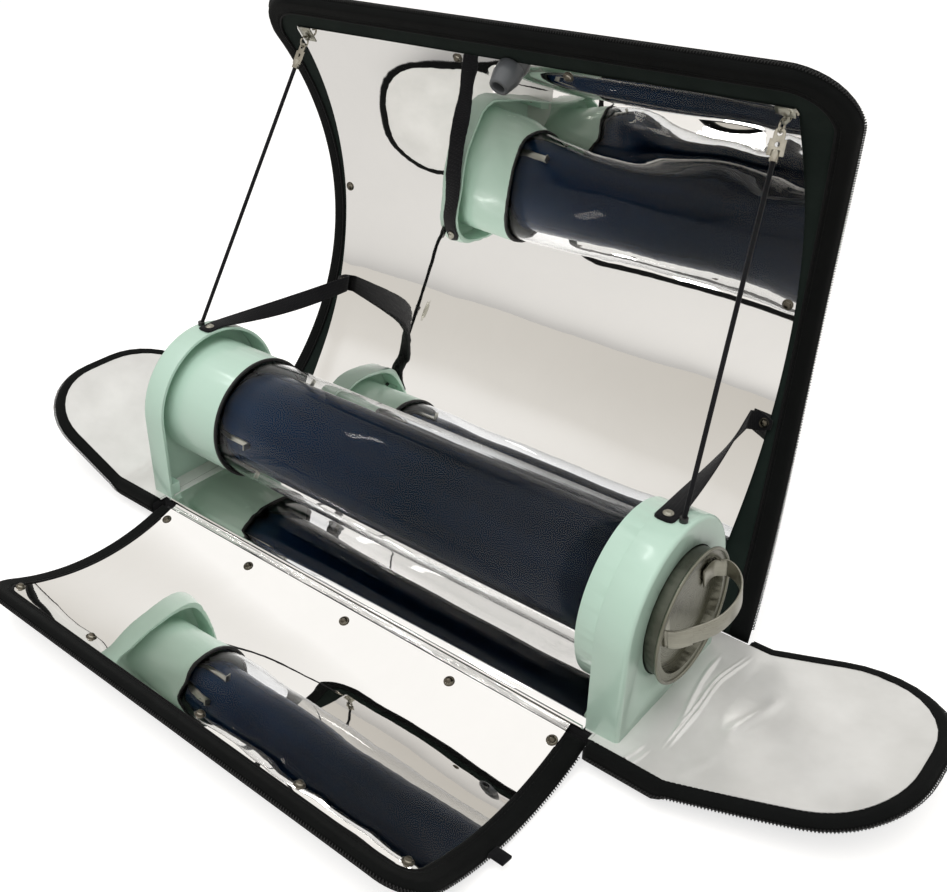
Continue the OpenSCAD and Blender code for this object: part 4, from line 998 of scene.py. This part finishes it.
# ---- glass tubes, spun about their axis
def spunTube(name, profile, body, material, node, steps=128):
    bm = bmesh.new()
    vs = [bm.verts.new((x, 0, r)) for x, r in profile]
    es = [bm.edges.new(p) for p in zip(vs, vs[1:] + vs[:1])]
    bmesh.ops.spin(bm, geom=vs + es, cent=(0, 0, 0), axis=(1, 0, 0), angle=tau, steps=steps, dvec=(0, 0, 0),
                   use_merge=True, use_duplicate=False)
    bmesh.ops.remove_doubles(bm, verts=bm.verts, dist=0.00002)
    bmesh.ops.recalc_face_normals(bm, faces=bm.faces)
    bmesh.ops.translate(bm, verts=bm.verts, vec=(0, 0, axisZ))
    return newPiece(name, bm, body, material, [node] if node else ())


def domeArc(x0, r, n=14):
    return [(x0 + r - r * math.cos(math.pi / 2 * k / n), r * math.sin(math.pi / 2 * k / n)) for k in range(n + 1)]


tube = {"outerTip": -0.262, "outerR": 0.0625, "wall": 0.0025, "innerTip": -0.237, "innerR": 0.051, "mouth": 0.284}
t = tube
outer = domeArc(t["outerTip"], t["outerR"]) + [(t["mouth"] - 0.001, t["outerR"]), (t["mouth"], t["outerR"] - 0.001)]
outer += [(t["mouth"], t["innerR"] - t["wall"] + 0.001), (t["mouth"] - 0.001, t["innerR"] - t["wall"])]
outer += [(t["mouth"] - t["wall"], t["innerR"] - t["wall"]), (t["mouth"] - t["wall"], t["outerR"] - t["wall"])]
outer += list(reversed(domeArc(t["outerTip"] + t["wall"], t["outerR"] - t["wall"])))
spunTube("outerGlass", outer, "case", "glass", "outer_glass")
inner = domeArc(t["innerTip"], t["innerR"]) + [(t["mouth"] - t["wall"] - 0.0002, t["innerR"]),
                                              (t["mouth"] - t["wall"] - 0.0002, t["innerR"] - t["wall"])]
inner += list(reversed(domeArc(t["innerTip"] + t["wall"], t["innerR"] - t["wall"])))
spunTube("innerGlass", inner, "case", "coating", "inner_glass")
gasket = [(0.2848 + 0.0011 * math.cos(tau * k / 10), 0.0575 + 0.0012 * math.sin(tau * k / 10)) for k in range(10)]
spunTube("mouthGasket", gasket, "drawer", "rubber", None, 96)
print("stage: glass made")

# ---- straps from the bracket tops to the back panel
strapShape = {"width": 0.018, "thick": 0.0016, "x": 0.271, "y": 0.003, "flatZ": 0.1862, "s": 0.192, "endX": 0.261, "steps": 30}
for side, name in ((-1, "left"), (1, "right")):
    k = strapShape
    a = k["s"] / backCurve["radius"] - math.radians(backCurve["lean"])
    along = Vector((0, -math.sin(a), math.cos(a)))
    face = Vector((0, -math.cos(a), -math.sin(a)))
    start = Vector((k["x"], k["y"] + k["width"] / 2 + 0.002, k["flatZ"]))
    last = backPoint(k["endX"], k["s"], 0.0003 + k["thick"])
    near = last + Vector((-0.012, 0, 0)) + face * 0.006
    sections = [(Vector((k["x"], k["y"] + dy, k["flatZ"])), Vector((1, 0, 0)), Vector((0, 0, 1)))
                for dy in (-0.0095, -0.0085, -0.006, -0.002, 0.003, 0.007)]
    for i in range(k["steps"] + 1):
        q = i / k["steps"]
        turn = q * math.pi / 2
        w = (math.cos(turn) * Vector((1, 0, 0)) + math.sin(turn) * along).normalized()
        n = (math.cos(turn) * Vector((0, 0, 1)) - math.sin(turn) * Vector((1, 0, 0))).normalized()
        sag = Vector((0, 0, -0.003 * math.sin(q * math.pi)))
        sections.append((start.lerp(near, q) + sag, w, n))
    for q in (0.35, 0.7, 1.0):
        bend = q * math.pi / 2
        n = (-math.cos(bend) * Vector((1, 0, 0)) + math.sin(bend) * face).normalized()
        sections.append((near.lerp(last, q) - face * 0.003 * math.sin(q * math.pi), along, n))
    sections.append((last + Vector((0.007, 0, 0)), along, face))
    bm = bmesh.new()
    stripMesh(bm, sections, k["width"], k["thick"], lambda q: Vector((side * q.x, q.y, q.z)), 3)
    strap = newPiece(name + "Strap", bm, None, "webbing", [name + "_strap"])
    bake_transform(strap)
print("stage: straps made")

# ---- floor, light and surroundings
floorBm = bmesh.new()
bmesh.ops.create_circle(floorBm, cap_ends=True, segments=64, radius=6)
bmesh.ops.translate(floorBm, verts=floorBm.verts, vec=(0, 0, -0.0125))
floorMesh = bpy.data.meshes.new("floor")
floorBm.to_mesh(floorMesh)
floorBm.free()
floor = bpy.data.objects.new("floor", floorMesh)
scene.collection.objects.link(floor)

studio = {"low": 0.26, "high": 0.34, "floorGlow": 0.68, "floor": (0.62, 0.605, 0.58)}
m, nt, bsdf = startMaterial("floorWhite")
bsdf.inputs["Base Color"].default_value = (*studio["floor"], 1)
bsdf.inputs["Roughness"].default_value = 0.9
path = nt.nodes.new("ShaderNodeLightPath")
glow = nt.nodes.new("ShaderNodeEmission")
glow.inputs["Color"].default_value = (1, 1, 1, 1)
seen = mathNode(nt, "MAXIMUM", path.outputs["Is Camera Ray"], path.outputs["Is Transmission Ray"])
seen = mathNode(nt, "MAXIMUM", seen, mathNode(nt, "MULTIPLY", path.outputs["Is Glossy Ray"], 0.30))
link(nt, mathNode(nt, "MULTIPLY", seen, studio["floorGlow"]), glow.inputs["Strength"])
both = nt.nodes.new("ShaderNodeAddShader")
link(nt, bsdf.outputs[0], both.inputs[0])
link(nt, glow.outputs[0], both.inputs[1])
link(nt, both.outputs[0], nt.nodes["Material Output"].inputs["Surface"])
floorMesh.materials.append(m)

world = bpy.data.worlds.new("studio")
scene.world = world
world.use_nodes = True
nt = world.node_tree
path = nt.nodes.new("ShaderNodeLightPath")
tc = nt.nodes.new("ShaderNodeTexCoord")
sep = nt.nodes.new("ShaderNodeSeparateXYZ")
link(nt, tc.outputs["Generated"], sep.inputs["Vector"])
room = noiseNode(nt, tc.outputs["Generated"], 1.1, 1, 0.3)
lift = mathNode(nt, "MULTIPLY_ADD", sep.outputs["Z"], 0.5, mathNode(nt, "MULTIPLY", room, 0.6))
walls = rampNode(nt, lift, [(0.2, (0.62, 0.59, 0.54)), (0.45, (0.76, 0.735, 0.69)), (0.60, (1.10, 1.085, 1.06))])
surround = nt.nodes.new("ShaderNodeBackground")
link(nt, walls, surround.inputs["Color"])
surround.inputs["Strength"].default_value = 1.0
plain = nt.nodes.new("ShaderNodeBackground")
plain.inputs["Color"].default_value = (1, 0.99, 0.975, 1)
link(nt, mathNode(nt, "MULTIPLY_ADD", sep.outputs["Z"], studio["high"], studio["low"]), plain.inputs["Strength"])
white = nt.nodes.new("ShaderNodeBackground")
white.inputs["Strength"].default_value = 1.0
white.inputs["Color"].default_value = (1, 1, 1, 1)
glossy = nt.nodes.new("ShaderNodeMixShader")
link(nt, path.outputs["Is Glossy Ray"], glossy.inputs["Fac"])
link(nt, plain.outputs[0], glossy.inputs[1])
link(nt, surround.outputs[0], glossy.inputs[2])
camRay = nt.nodes.new("ShaderNodeMixShader")
link(nt, mathNode(nt, "MAXIMUM", path.outputs["Is Camera Ray"], path.outputs["Is Transmission Ray"]), camRay.inputs["Fac"])
link(nt, glossy.outputs[0], camRay.inputs[1])
link(nt, white.outputs[0], camRay.inputs[2])
link(nt, camRay.outputs[0], nt.nodes["World Output"].inputs["Surface"])

lamps = {
    "key": {"place": (0.5, -1.3, 2.95), "size": (2.4, 2.4), "power": 69},
    "streak": {"place": (-1.07, -0.37, 2.6), "size": (0.70, 0.12), "power": 6},
}
for lampName, lamp in lamps.items():
    data = bpy.data.lights.new(lampName, "AREA")
    data.shape = "RECTANGLE"
    data.size, data.size_y = lamp["size"]
    data.energy = lamp["power"]
    o = bpy.data.objects.new(lampName, data)
    o.location = lamp["place"]
    o.visible_glossy = lampName == "streak"
    o.visible_diffuse = lampName == "key"
    o.visible_transmission = False
    if lampName == "key":
        o.rotation_euler = (Vector((0, 0, 0.1)) - o.location).to_track_quat("-Z", "Y").to_euler()
    else:
        o.rotation_euler = (0, 0, math.radians(67.5))
    scene.collection.objects.link(o)

scene.view_settings.view_transform = "Standard"
print("stage: light set")
